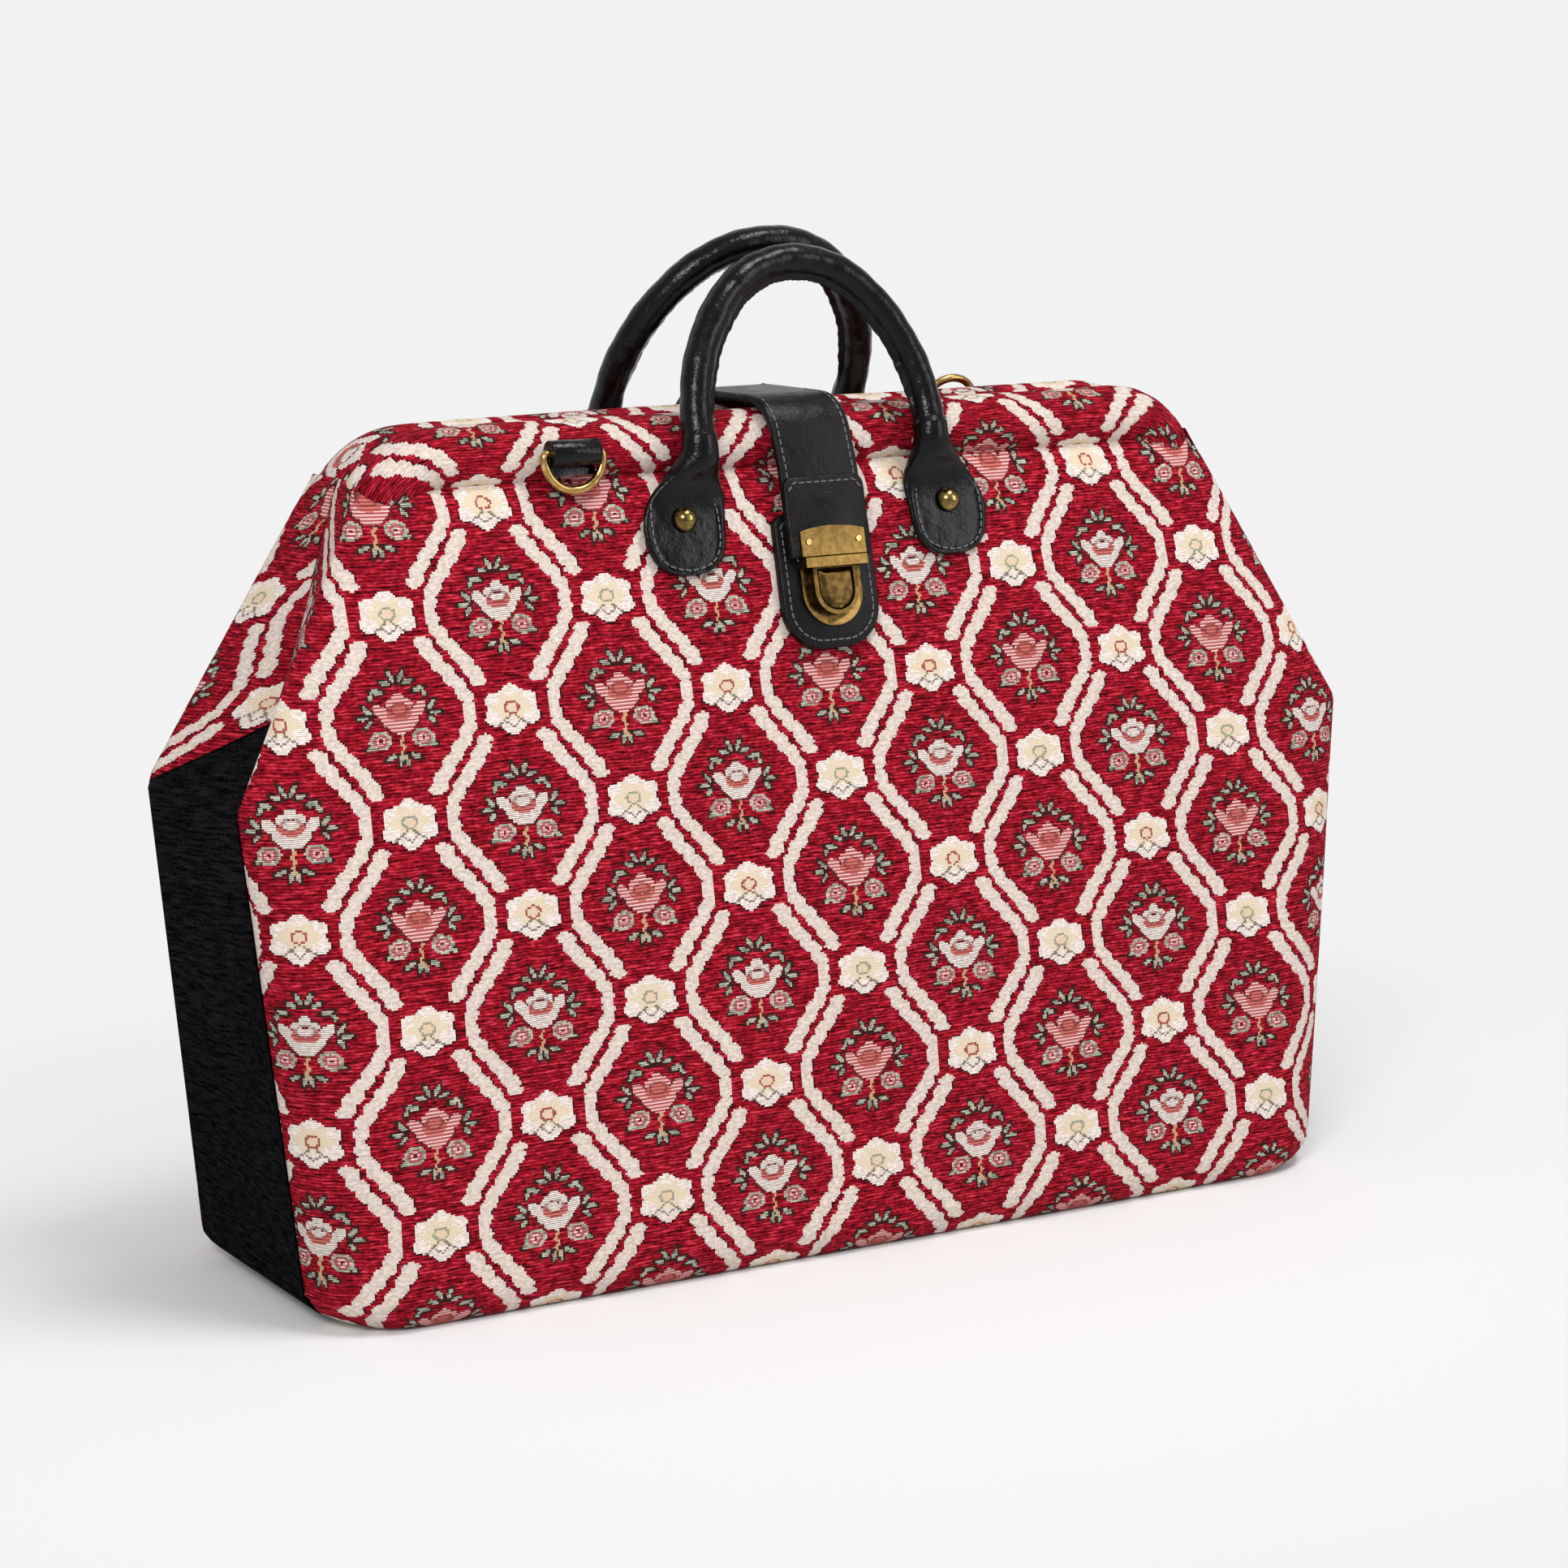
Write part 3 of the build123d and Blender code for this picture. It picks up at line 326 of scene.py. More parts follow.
def tapestry_material():
    material, tree, shader = new_material("tapestry")
    where = tree.nodes.new("ShaderNodeUVMap")
    where.uv_map = "UVMap"
    split = tree.nodes.new("ShaderNodeSeparateXYZ")
    tree.links.new(where.outputs["UV"], split.inputs[0])
    raw_u, raw_v = Value(split.outputs[0]) * 1000, Value(split.outputs[1]) * 1000
    drop = (raw_v * -1) + FAN_FROM_V
    cloth_u = (raw_u - drop * FAN_SHIFT) / (drop * FAN_SPREAD + 1)
    u, v = snap(cloth_u, THREAD), snap(raw_v, THREAD)

    # ovals: the white-rose ones stand in the first columns, and the pink ones half a repeat away
    white_x = repeat(u, 2 * COLUMN_PITCH, FIRST_COLUMN_U)
    white_y = repeat(v, 2 * ROW_PITCH, TOP_ROW_V - ROW_PITCH)
    pink_x = repeat(u, 2 * COLUMN_PITCH, FIRST_COLUMN_U + COLUMN_PITCH)
    pink_y = repeat(v, 2 * ROW_PITCH, TOP_ROW_V)
    white_off = white_x.size() - band_middle(white_y)
    pink_off = pink_x.size() - band_middle(pink_y)
    is_white = white_off.size().less(pink_off.size())
    x = is_white.choose(white_x, pink_x)
    y = is_white.choose(white_y, pink_y)
    off = is_white.choose(white_off, pink_off)
    right = x.more(0)

    # scalloped bands
    scallop = ((y.size() * 0.70 + right * 0.9).op("SINE").size() - 0.5) * 1.15
    slant = (y.size() - 3.2).fade(0, 7)
    half_band = scallop + slant * 0.62 + 2.2
    in_length = (y.size() + off * off * 0.16).less(25.4)
    band = off.size().less(half_band) * in_length
    side = (right * 2 - 1) * off
    # painted shade: a dark line along the right-hand side of each raised band, where its shadow falls
    band_painted_shade = (side - half_band).size().less(0.42) * in_length
    band_rise = ((off.size() * -1) + half_band).fade(-0.3, 1.3) * in_length

    # rosettes where the ovals meet
    red_x, red_y = white_x, repeat(v, 2 * ROW_PITCH, TOP_ROW_V)
    green_x, green_y = pink_x, repeat(v, 2 * ROW_PITCH, TOP_ROW_V - ROW_PITCH)
    is_red = (red_x.size() / COLUMN_PITCH + red_y.size() / ROW_PITCH).less(1)
    fx = is_red.choose(red_x, green_x) / 1.27
    fy = is_red.choose(red_y, green_y)
    reach = (fx * fx + fy * fy).op("SQRT")
    angle = fy.op("ARCTAN2", fx)
    lobes = (angle * 6).op("COSINE") * -0.75
    rim = lobes + 7.4 - fy * 0.07
    rosette = reach.less(rim)
    tongue = fy.less(-1.5)
    # painted shade: a dark line along the lower side of each rosette's rim only
    rosette_painted_shade = (reach - rim).size().less(0.45) * (fy - fx * 0.4).less(0)
    tongue_x = fx.size() - 1.2
    tongue_line = (fy + 3.0 + tongue_x * 0.9).size().less(0.42) * (fx.size() - 2.6).size().less(1.9) * tongue
    tongue_line = tongue_line.either((fy + 6.2 - fx.size() * 0.9).size().less(0.36) * fx.size().less(2.2))
    tan_part = (ellipse(fx, fy, 0, 0.3, 5.0, 4.2, 0) + lobes * 0.22).less(1)
    red_ring = (reach - 1.9).size().less(0.34)
    eye = reach.less(1.5)

    # rose bunches: leaves on both sides, a rose in the middle and two small ones below
    mirror_x = x.size()
    leaves = [
        (1.7, 13.3, 2.5, 0.95, 60), (4.0, 11.4, 2.2, 0.9, 16), (7.2, 8.9, 2.6, 1.0, 10),
        (9.3, 7.3, 1.6, 0.9, -58),
        (11.2, 3.4, 2.4, 0.95, 48), (12.7, 1.0, 2.4, 0.9, 0), (11.0, -1.2, 2.0, 0.9, -48),
        (1.1, -13.4, 2.2, 0.9, -78), (4.2, -12.2, 2.3, 0.95, -22), (10.6, -8.6, 2.0, 0.9, -20),
    ]
    leaf = None
    for at_x, at_y, long, wide, turn in leaves:
        one = ellipse(mirror_x, y, at_x, at_y, long, wide, turn)
        leaf = one if leaf is None else leaf.both(one)
    stem = (x - (y * 1.9).op("SINE") * 0.5).size().less(0.55) * (y + 8.6).size().less(4.4)
    rose = ellipse(mirror_x, y, 0, 0.0, 6.6, 4.0, 0).both(ellipse(mirror_x, y, 6.6, 2.6, 3.2, 1.9, 44))
    rose = rose.both(ellipse(mirror_x, y, 0, 6.2, 2.2, 1.9, 0))
    rose = rose.both(ellipse(mirror_x, y, 2.9, 4.6, 1.9, 1.6, -30))
    rose_low = ellipse(mirror_x, y, 0, -2.8, 4.2, 2.2, 0)
    heart = ellipse(mirror_x, y, 0, 2.9, 3.7, 2.3, 0)
    crescent = ellipse(mirror_x, y, 0, 1.8, 4.5, 2.7, 0).less(1)
    crescent = crescent * ellipse(mirror_x, y, 0, 3.6, 3.3, 2.4, 0).more(1)
    heart_line = (heart - 0.8).size().less(0.14)
    small = ellipse(mirror_x, y, 7.4, -6.6, 3.2, 2.5, -12)
    small_ring = (small - 0.66).size().less(0.17)
    stripes = (raw_v / 1.15).op("FRACT").less(0.5)

    # threads: uneven chenille ribs in the ground, fine slanting twill in the bands, flat ones in the motifs
    wobble = noise(tree, 120.0, 2.0, where.outputs["UV"], (1, 3, 1))
    rib_at = raw_v / RIB + wobble * 1.7
    rib = (rib_at * 6.2832).op("SINE") * 0.5 + 0.5
    tuft = noise(tree, 1150.0, 2.0, where.outputs["UV"], (0.5, 0.9, 1))
    blotch = noise(tree, 420.0, 3.0, where.outputs["UV"], (0.7, 1.9, 1))
    broad = noise(tree, 34.0, 2.0, where.outputs["UV"])
    twill = ((raw_u * 1.1 + raw_v * 0.75) / 0.66 * 6.2832).op("SINE") * 0.5 + 0.5
    thread = (raw_v / 0.62 * 6.2832).op("SINE") * 0.5 + 0.5
    speck = tuft.fade(0.36, 0.64)

    # The red ground is partly painted light: painted shade darkens it in the rib troughs and along the dark
    # streaks, and a painted highlight lightens it on the rib crowns. The specks, blotches and broad noise are
    # the pile's own uneven tone.
    deep_and_shaded_red, mid_red, bright_and_lit_red = rgb(44, 0, 6), rgb(152, 14, 34), rgb(222, 66, 84)
    streak = noise(tree, 300.0, 3.0, where.outputs["UV"], (0.55, 2.3, 1)).fade(0.40, 0.62)
    depth = rib * 0.36 + speck * 0.26 + blotch.fade(0.34, 0.66) * 0.30 + streak * 0.34 + broad * 0.1 - 0.16
    red = paint(tree, deep_and_shaded_red, mid_red, depth.fade(0.10, 0.62))
    red = paint(tree, red, bright_and_lit_red, depth.fade(0.62, 1.1))
    cream = paint(tree, rgb(160, 142, 132), rgb(242, 228, 218), twill * 0.62 + speck * 0.38)
    white = paint(tree, rgb(178, 160, 150), rgb(250, 240, 232), thread * 0.6 + speck * 0.4)
    leaf_light = thread * 0.45 + blotch.fade(0.38, 0.62) * 0.6
    leaf_colour = paint(tree, rgb(74, 86, 72), rgb(206, 208, 188), leaf_light)
    # dark is the colour of the painted shade beside the bands and along the rosettes' lower rims
    dark = rgb(38, 14, 16)
    colour = paint(tree, red, dark, band_painted_shade * 0.85)
    colour = paint(tree, colour, cream, band)
    colour = paint(tree, colour, rgb(26, 30, 26), (leaf - 1).size().less(0.36) * 0.85)
    colour = paint(tree, colour, leaf_colour, leaf.less(0.8))
    colour = paint(tree, colour, rgb(206, 166, 128), stem)
    petal = paint(tree, rgb(184, 84, 90), rgb(238, 198, 190), stripes)
    petal = paint(tree, petal, white, is_white)
    inner = paint(tree, rgb(172, 74, 72), rgb(206, 122, 112), stripes)
    colour = paint(tree, colour, leaf_colour, (small - 1).size().less(0.22))
    small_colour = paint(tree, rgb(206, 128, 130), rgb(244, 214, 206), stripes)
    colour = paint(tree, colour, small_colour, small.less(0.9))
    colour = paint(tree, colour, rgb(150, 52, 62), small_ring * 0.8)
    colour = paint(tree, colour, rgb(120, 20, 34), small.less(0.22))
    bloom = rose.both(rose_low)
    colour = paint(tree, colour, rgb(84, 30, 30), (bloom - 1).size().less(0.13) * 0.8)
    colour = paint(tree, colour, petal, bloom.less(0.96))
    colour = paint(tree, colour, inner, crescent.either(is_white.invert() * heart.less(0.9)))
    colour = paint(tree, colour, rgb(110, 36, 38), heart_line * 0.6)
    colour = paint(tree, colour, dark, rosette_painted_shade * 0.85)
    rosette_colour = paint(tree, white, paint(tree, rgb(190, 172, 146), rgb(232, 216, 192), twill), tan_part)
    rosette_colour = paint(tree, rosette_colour, rgb(60, 52, 44), tongue_line * 0.75)
    ring_colour = paint(tree, rgb(146, 146, 128), rgb(150, 78, 74), is_red)
    rosette_colour = paint(tree, rosette_colour, rgb(212, 188, 160), eye)
    rosette_colour = paint(tree, rosette_colour, ring_colour, red_ring)
    colour = paint(tree, colour, rosette_colour, rosette)

    motif = leaf.less(1.1).either(bloom.less(1)).either(small.less(1.1)).either(stem)
    flat = band.either(rosette)
    woven = flat.either(motif)
    gap = thread.fade(0.42, 0.0) * motif * 0.55
    colour = paint(tree, colour, rgb(46, 24, 24), gap)
    rosette_rise = ((reach * -1) + rim).fade(-0.3, 1.3)
    flat_height = band_rise.either(rosette_rise) * 1.1 + twill * 0.16
    height = flat.choose(flat_height, woven.choose(thread * 0.35 + 0.35, rib * 0.5 + speck * 0.45))
    tree.links.new(colour, shader.inputs["Base Color"])
    shader.inputs["Roughness"].default_value = 0.9
    shader.inputs["Specular IOR Level"].default_value = 0.08
    bump(tree, shader, height, 0.9, 0.0007)
    return material


TAPESTRY = tapestry_material()


# Other materials: black pile cloth, black leather with a soft gloss, aged brass and bright wire.
def pile_material():
    material, tree, shader = new_material("black_pile")
    streak = noise(tree, 260.0, 3.0, None, (0.6, 0.6, 4.0))
    grain = noise(tree, 1800.0, 2.0)
    tuft = streak.fade(0.35, 0.68) * 0.6 + grain.fade(0.35, 0.7) * 0.5
    colour = paint(tree, rgb(1, 1, 2), rgb(40, 40, 42), tuft - 0.1)
    tree.links.new(colour, shader.inputs["Base Color"])
    shader.inputs["Roughness"].default_value = 1.0
    shader.inputs["Specular IOR Level"].default_value = 0.0
    bump(tree, shader, tuft, 0.8, 0.0009)
    return material


def leather_material(name, gloss):
    material, tree, shader = new_material(name)
    grain = noise(tree, 1500.0, 3.0)
    crease = noise(tree, 160.0, 3.0)
    colour = paint(tree, rgb(1, 1, 1), rgb(12, 11, 11), crease)
    tree.links.new(colour, shader.inputs["Base Color"])
    rough = (crease * 0.2 + grain * 0.1) + gloss
    tree.links.new(rough.socket, shader.inputs["Roughness"])
    shader.inputs["Specular IOR Level"].default_value = 0.22
    coarse = bump(tree, shader, crease, 0.45, 0.0014)
    bump(tree, shader, grain, 0.5, 0.00016 + 0.0008 * gloss, coarse)
    return material


def brass_material(name, dark, bright, rough):
    material, tree, shader = new_material(name)
    geometry = tree.nodes.new("ShaderNodeNewGeometry")
    # Painted highlight: convex edges, found by pointiness, are painted in the bright colour. The patina noise
    # adds the metal's own mottling on top.
    edge = Value(geometry.outputs["Pointiness"]).fade(0.52, 0.60)
    patina = noise(tree, 420.0, 4.0)
    edge_highlight_and_patina = (edge * 0.8 + patina.fade(0.42, 0.78) * 0.5).fade(0, 1)
    colour = paint(tree, dark, bright, edge_highlight_and_patina)
    tree.links.new(colour, shader.inputs["Base Color"])
    shader.inputs["Metallic"].default_value = 1.0
    roughness = patina * 0.25 + rough
    tree.links.new(roughness.socket, shader.inputs["Roughness"])
    bump(tree, shader, patina, 0.15, 0.0003)
    return material


def plain_material(name, colour, rough):
    material, tree, shader = new_material(name)
    shader.inputs["Base Color"].default_value = colour
    shader.inputs["Roughness"].default_value = rough
    return material


PILE = pile_material()
LEATHER = leather_material("leather", 0.06)
GRAINED = leather_material("grained_leather", 0.22)
# The black thread is coloured mid grey: a painted sheen for the light that it catches.
SHEEN_PAINTED_THREAD = plain_material("black_thread_painted_sheen", rgb(96, 95, 97), 0.5)
BRASS = brass_material("antique_brass", rgb(62, 48, 24), rgb(156, 124, 70), 0.15)
DOME = brass_material("polished_brass", rgb(104, 86, 46), rgb(206, 176, 112), 0.08)
GOLD = brass_material("gold_wire", rgb(176, 140, 80), rgb(232, 200, 136), 0.12)


# Front and back cloth: tapestry from the base seam up to the roll, wrapped round the corners.
# The face leans in towards the top. The cloth is supple, so it carries shallow waves.
STRAIGHT_COLUMNS = 110
CORNER_COLUMNS = 12
FACE_ROWS = 96


def section(z):
    """Points round one face at height z, from seam to seam: x, depth, and distance along the cloth."""
    width, seam, corner = float(half_width(z)), float(seam_depth(z)), float(corner_width(z))
    face = face_depth(max(z, BOTTOM_Z))
    reach = width - corner
    turn = np.linspace(math.pi, 1.5 * math.pi, CORNER_COLUMNS + 1)[:-1]
    left_x = -reach + corner * np.cos(turn)
    left_y = -seam + (face - seam) * np.sin(turn)
    middle = np.linspace(-reach, reach, STRAIGHT_COLUMNS)
    x = np.concatenate([left_x, middle, -left_x[::-1]])
    y = np.concatenate([left_y, np.full(STRAIGHT_COLUMNS, -face), left_y[::-1]])
    step = np.hypot(np.diff(x), np.diff(y))
    along = np.concatenate([[0], np.cumsum(step)])
    return x, y, along - along[-1] / 2


def cloth_uv(x_or_along, z, sign):
    """The tapestry on the back runs on from the front's, half a repeat along."""
    shift = 0.0 if sign < 0 else COLUMN_PITCH
    return np.stack([x_or_along * -sign + shift, np.broadcast_to(up_the_face(z), x_or_along.shape)], -1)


ROLL_CREASE = 6.5
for sign, half in HALVES:
    heights = np.linspace(SEAM_Z, CLOTH_TOP_Z, FACE_ROWS)
    points, uvs = [], []
    for z in heights:
        x, y, along = section(z)
        ease = min((z - SEAM_Z) / 25, 1) * min((CLOTH_TOP_Z - z) / 14, 1)
        edge = np.clip((half_width(z) - np.abs(x)) / 20, 0, 1)
        crease = 1 - ROLL_CREASE * float(np.clip((z - 255) / 10, 0, 1)) ** 2 / face_depth(z)
        y = y * crease
        out = ripple(x, y, z, 0.55) * ease * edge
        points.append(np.stack([x, (y - out) * -sign, np.full_like(x, z)], -1))
        uvs.append(cloth_uv(along, z, sign))
    cloth = sheet_mesh(half + "_cloth", np.array(points), TAPESTRY, np.array(uvs), flip=sign > 0)
    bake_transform(cloth)
    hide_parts(half + "_mouth_panel")


# Bottom: the same tapestry, turned under from front and back, and drawn well in at both ends.
# Each ring of points is the base seam's outline moved inwards, more along X than along Y.
BOTTOM_RINGS = (
    (10.5, 0.0, 0.0), (9.0, 0.4, 0.1), (6.5, 2.2, 0.7), (4.2, 4.6, 1.6), (2.2, 8.0, 2.9), (0.7, 11.8, 4.5),
    (0.0, 15.5, 6.3),
)
x, y, along = section(SEAM_Z)
ring_x = np.concatenate([x, x[::-1]])
ring_y = np.concatenate([y, -y[::-1]])
count = len(ring_x)
points, uvs = [], []
side_share = np.clip((np.abs(ring_x) - 150) / 46, 0, 1) ** 2
under_gusset = (np.abs(ring_y) < float(seam_depth(SEAM_Z)) + 0.5) * (np.abs(ring_x) > 150)
for z, side_tuck, face_tuck in BOTTOM_RINGS:
    here_x = ring_x - np.sign(ring_x) * (side_tuck * side_share + 1.5 * under_gusset * (z < SEAM_Z))
    here_y = ring_y - np.sign(ring_y) * face_tuck
    points.append(np.stack([here_x, here_y, np.full(count, z)], -1))
    uvs.append(np.stack([ring_x, np.full(count, z - 0.6 * face_tuck)], -1))
for share in (0.6, 0.25, 0.02):
    points.append(np.stack([here_x, here_y * share, np.zeros(count)], -1))
    uvs.append(np.stack([ring_x, -60 * (1 - share) * np.ones(count)], -1))
points, uvs = np.array(points), np.array(uvs)
uvs = np.concatenate([uvs, uvs[:, :1]], axis=1)
bottom = sheet_mesh("bottom_cloth", points, TAPESTRY, uvs, wrap=True, flip=True)
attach(bottom, "root")
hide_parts("body_panel")


# Side folds of the mouth: tapestry from the corner crease in to the valley, over the gusset's peak.
# They are sewn to the face cloth's edge.
FOLD_COLUMNS = 16
for sign, half in HALVES:
    for end, name in ((-1, "left"), (1, "right")):
        points, uvs = [], []
        for r in range(40):
            row, row_uv = [], []
            for c in range(FOLD_COLUMNS):
                q = c / (FOLD_COLUMNS - 1)
                low = SHOULDER_Z + (PEAK_Z - SHOULDER_Z) * q - 0.6
                z = low + (CLOTH_TOP_Z - low) * r / 39
                width, seam = float(half_width(z)), float(seam_depth(z))
                sag = 1.6 * math.sin(math.pi * q) * min((CLOTH_TOP_Z - z) / 60, 1)
                x = width - float(fold_depth(z)) * q + sag
                y = seam * (1 - q) + 0.2
                row.append((end * x, sign * y, z))
                out = section(z)[2][-1] + math.hypot(float(fold_depth(z)), seam) * q
                row_uv.append(cloth_uv(np.array([end * out]), z, sign)[0])
            points.append(row)
            uvs.append(row_uv)
        inside_out = end * sign < 0
        fold = sheet_mesh(half + "_fold_" + name, np.array(points), TAPESTRY, np.array(uvs), flip=inside_out)
        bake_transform(fold)


# Rolls: tapestry round the steel frame along the top and down both corners of each half.
# Each is a closed tube of cloth, filled with foam, sewn to the face along a tight crease.
ROLL_TURN = 74.0
ROLL_SIDES = 40
BACK_SAG = 1.8
frame_lean = math.atan((ROLL_Y - HINGE_Y) / (ROLL_Z - SHOULDER_Z))
frame_top = (ROLL_Z - SHOULDER_Z) / math.cos(frame_lean)
full_turn = math.pi / 2 - math.atan((HINGE_X - ROLL_CORNER_X) / frame_top)
straight = ROLL_CORNER_X - ROLL_BEND * math.tan(full_turn / 2)
line = []
for angle in np.radians(np.linspace(ROLL_TURN, 0, 14)):
    fall = ROLL_BEND * (1 - math.cos(angle))
    line.append((-straight - ROLL_BEND * math.sin(angle), frame_top - fall, -angle))
for x in np.linspace(-straight, straight, 90)[1:-1]:
    line.append((x, frame_top, 0.0))
line += [(-x, t, -angle) for x, t, angle in line[:14][::-1]]
for sign, half in HALVES:
    points, uvs = [], []
    travelled, last = 0.0, None
    for k, (x, t, angle) in enumerate(line):
        depth = sign * (HINGE_Y + t * math.sin(frame_lean))
        here = np.array([x, depth, SHOULDER_Z + t * math.cos(frame_lean)])
        if sign > 0:
            here[2] -= BACK_SAG * float(np.clip((-x - 40) / 110, 0, 1)) ** 1.5
        upright = math.cos(angle)
        up_y, up_z = sign * upright * math.sin(frame_lean), upright * math.cos(frame_lean)
        up = np.array([math.sin(angle), up_y, up_z])
        out = np.array([0, sign * math.cos(frame_lean), -math.sin(frame_lean)])
        travelled += 0 if last is None else np.linalg.norm(here - last)
        last = here
        from_end = min(k, len(line) - 1 - k)
        radius = ROLL_RADIUS * min(1, 0.55 + 0.15 * from_end)
        row, row_uv = [], []
        for c in range(ROLL_SIDES + 1):
            around = 2 * math.pi * c / ROLL_SIDES
            uneven = float(ripple(travelled, around * 20, around * 15, 0.25))
            r = radius + uneven
            if c < ROLL_SIDES:
                tall = r - ROLL_FLAT * radius / ROLL_RADIUS
                row.append(here - tall * math.cos(around) * up + r * math.sin(around) * out)
            row_uv.append((0, up_the_face(262.0)[0] + ROLL_RADIUS * (around - 1.0)))
        points.append(row)
        uvs.append([(travelled, w) for _, w in row_uv])
    uvs = np.array(uvs)
    uvs[..., 0] -= travelled / 2
    if sign > 0:
        uvs[..., 0] = COLUMN_PITCH - uvs[..., 0]
    points = np.array(points)
    roll = sheet_mesh(half + "_roll", points, TAPESTRY, uvs, wrap=True, close_ends=True, flip=sign > 0)
    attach(roll, half + "_half")


# Gussets: black pile cloth down each side, folded in along the middle, with a peak between the halves.
for end, name in ((-1, "left"), (1, "right")):
    points, uvs = [], []
    for z, side_tuck, face_tuck in BOTTOM_RINGS[:0:-1]:
        seam = float(seam_depth(z))
        row = []
        for y in np.linspace(-seam, seam, 31):
            tucked_y = y * (1 - face_tuck / 90) * 1.02
            row.append((end * (float(half_width(SEAM_Z)) - side_tuck + 0.3), tucked_y, z))
        points.append(row)
    for z in np.concatenate([np.linspace(SEAM_Z, SHOULDER_Z, 48), np.linspace(SHOULDER_Z, PEAK_Z, 14)[1:]]):
        seam = float(seam_depth(z))
        reach = seam if z <= SHOULDER_Z else SHOULDER_SEAM_DEPTH * (PEAK_Z - z) / (PEAK_Z - SHOULDER_Z)
        row = []
        for y in np.linspace(-reach, reach, 31):
            inward = float(fold_depth(z)) * (1 - abs(y) / seam)
            soft = 0.8 * math.sin(z / 17 + y / 9) * min((z - SEAM_Z) / 20, 1) * (1 - (y / max(reach, 1)) ** 2)
            over = 1.2 * max(abs(y) / seam - 0.75, 0) / 0.25 if z < SHOULDER_Z else 0.0
            row.append((end * (float(half_width(z)) - inward - 0.4 + soft + over), y * (1 + 0.012 * over), z))
        points.append(row)
    gusset = sheet_mesh(name + "_gusset_cloth", np.array(points), PILE, flip=end < 0)
    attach(gusset, "root")
    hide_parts(name + "_gusset")


# Stitches: short thread capsules set along a line by one Geometry Nodes group.
def stitch_group():
    group = bpy.data.node_groups.new("stitch_row", "GeometryNodeTree")
    sockets = {}
    face = group.interface
    face.new_socket("Geometry", in_out="INPUT", socket_type="NodeSocketGeometry")
    for name, kind in (("Spacing", "NodeSocketFloat"), ("Length", "NodeSocketFloat"),
                       ("Radius", "NodeSocketFloat"), ("Material", "NodeSocketMaterial")):
        sockets[name] = face.new_socket(name, in_out="INPUT", socket_type=kind).identifier
    face.new_socket("Geometry", in_out="OUTPUT", socket_type="NodeSocketGeometry")
    nodes, links = group.nodes, group.links
    given, out = nodes.new("NodeGroupInput"), nodes.new("NodeGroupOutput")
    curve, spread = nodes.new("GeometryNodeMeshToCurve"), nodes.new("GeometryNodeResampleCurve")
    spread.mode = "LENGTH"
    tangent, turn = nodes.new("GeometryNodeInputTangent"), nodes.new("FunctionNodeAlignRotationToVector")
    turn.axis = "Z"
    thread = nodes.new("GeometryNodeMeshCylinder")
    thread.inputs["Vertices"].default_value = 8
    place, real = nodes.new("GeometryNodeInstanceOnPoints"), nodes.new("GeometryNodeRealizeInstances")
    coat = nodes.new("GeometryNodeSetMaterial")
    links.new(given.outputs["Geometry"], curve.inputs["Mesh"])
    links.new(curve.outputs["Curve"], spread.inputs["Curve"])
    links.new(given.outputs["Spacing"], spread.inputs["Length"])
    links.new(tangent.outputs["Tangent"], turn.inputs["Vector"])
    links.new(given.outputs["Length"], thread.inputs["Depth"])
    links.new(given.outputs["Radius"], thread.inputs["Radius"])
    links.new(spread.outputs["Curve"], place.inputs["Points"])
    links.new(thread.outputs["Mesh"], place.inputs["Instance"])
    links.new(turn.outputs["Rotation"], place.inputs["Rotation"])
    links.new(place.outputs["Instances"], real.inputs["Geometry"])
    links.new(real.outputs["Geometry"], coat.inputs["Geometry"])
    links.new(given.outputs["Material"], coat.inputs["Material"])
    links.new(coat.outputs["Geometry"], out.inputs["Geometry"])
    return group, sockets


STITCHES, STITCH_SOCKETS = stitch_group()


def stitch_row(name, lines, spacing=2.7, length=1.9, radius=0.26, material=SHEEN_PAINTED_THREAD):
    """Real stitches along lines of points, as one plain mesh."""
    verts, edges = [], []
    for one in lines:
        first = len(verts)
        verts += [tuple(np.asarray(p, float) * MM) for p in one]
        edges += [(first + k, first + k + 1) for k in range(len(one) - 1)]
    mesh = bpy.data.meshes.new(name + "_line")
    mesh.from_pydata(verts, edges, [])
    carrier = bpy.data.objects.new(name + "_line", mesh)
    bpy.context.scene.collection.objects.link(carrier)
    nodes = carrier.modifiers.new("stitches", "NODES")
    nodes.node_group = STITCHES
    nodes[STITCH_SOCKETS["Spacing"]] = spacing * MM
    nodes[STITCH_SOCKETS["Length"]] = length * MM
    nodes[STITCH_SOCKETS["Radius"]] = radius * MM
    nodes[STITCH_SOCKETS["Material"]] = material
    graph = bpy.context.evaluated_depsgraph_get()
    baked = bpy.data.meshes.new_from_object(carrier.evaluated_get(graph))
    bpy.data.objects.remove(carrier)
    obj = bpy.data.objects.new(name, baked)
    bpy.context.scene.collection.objects.link(obj)
    return obj


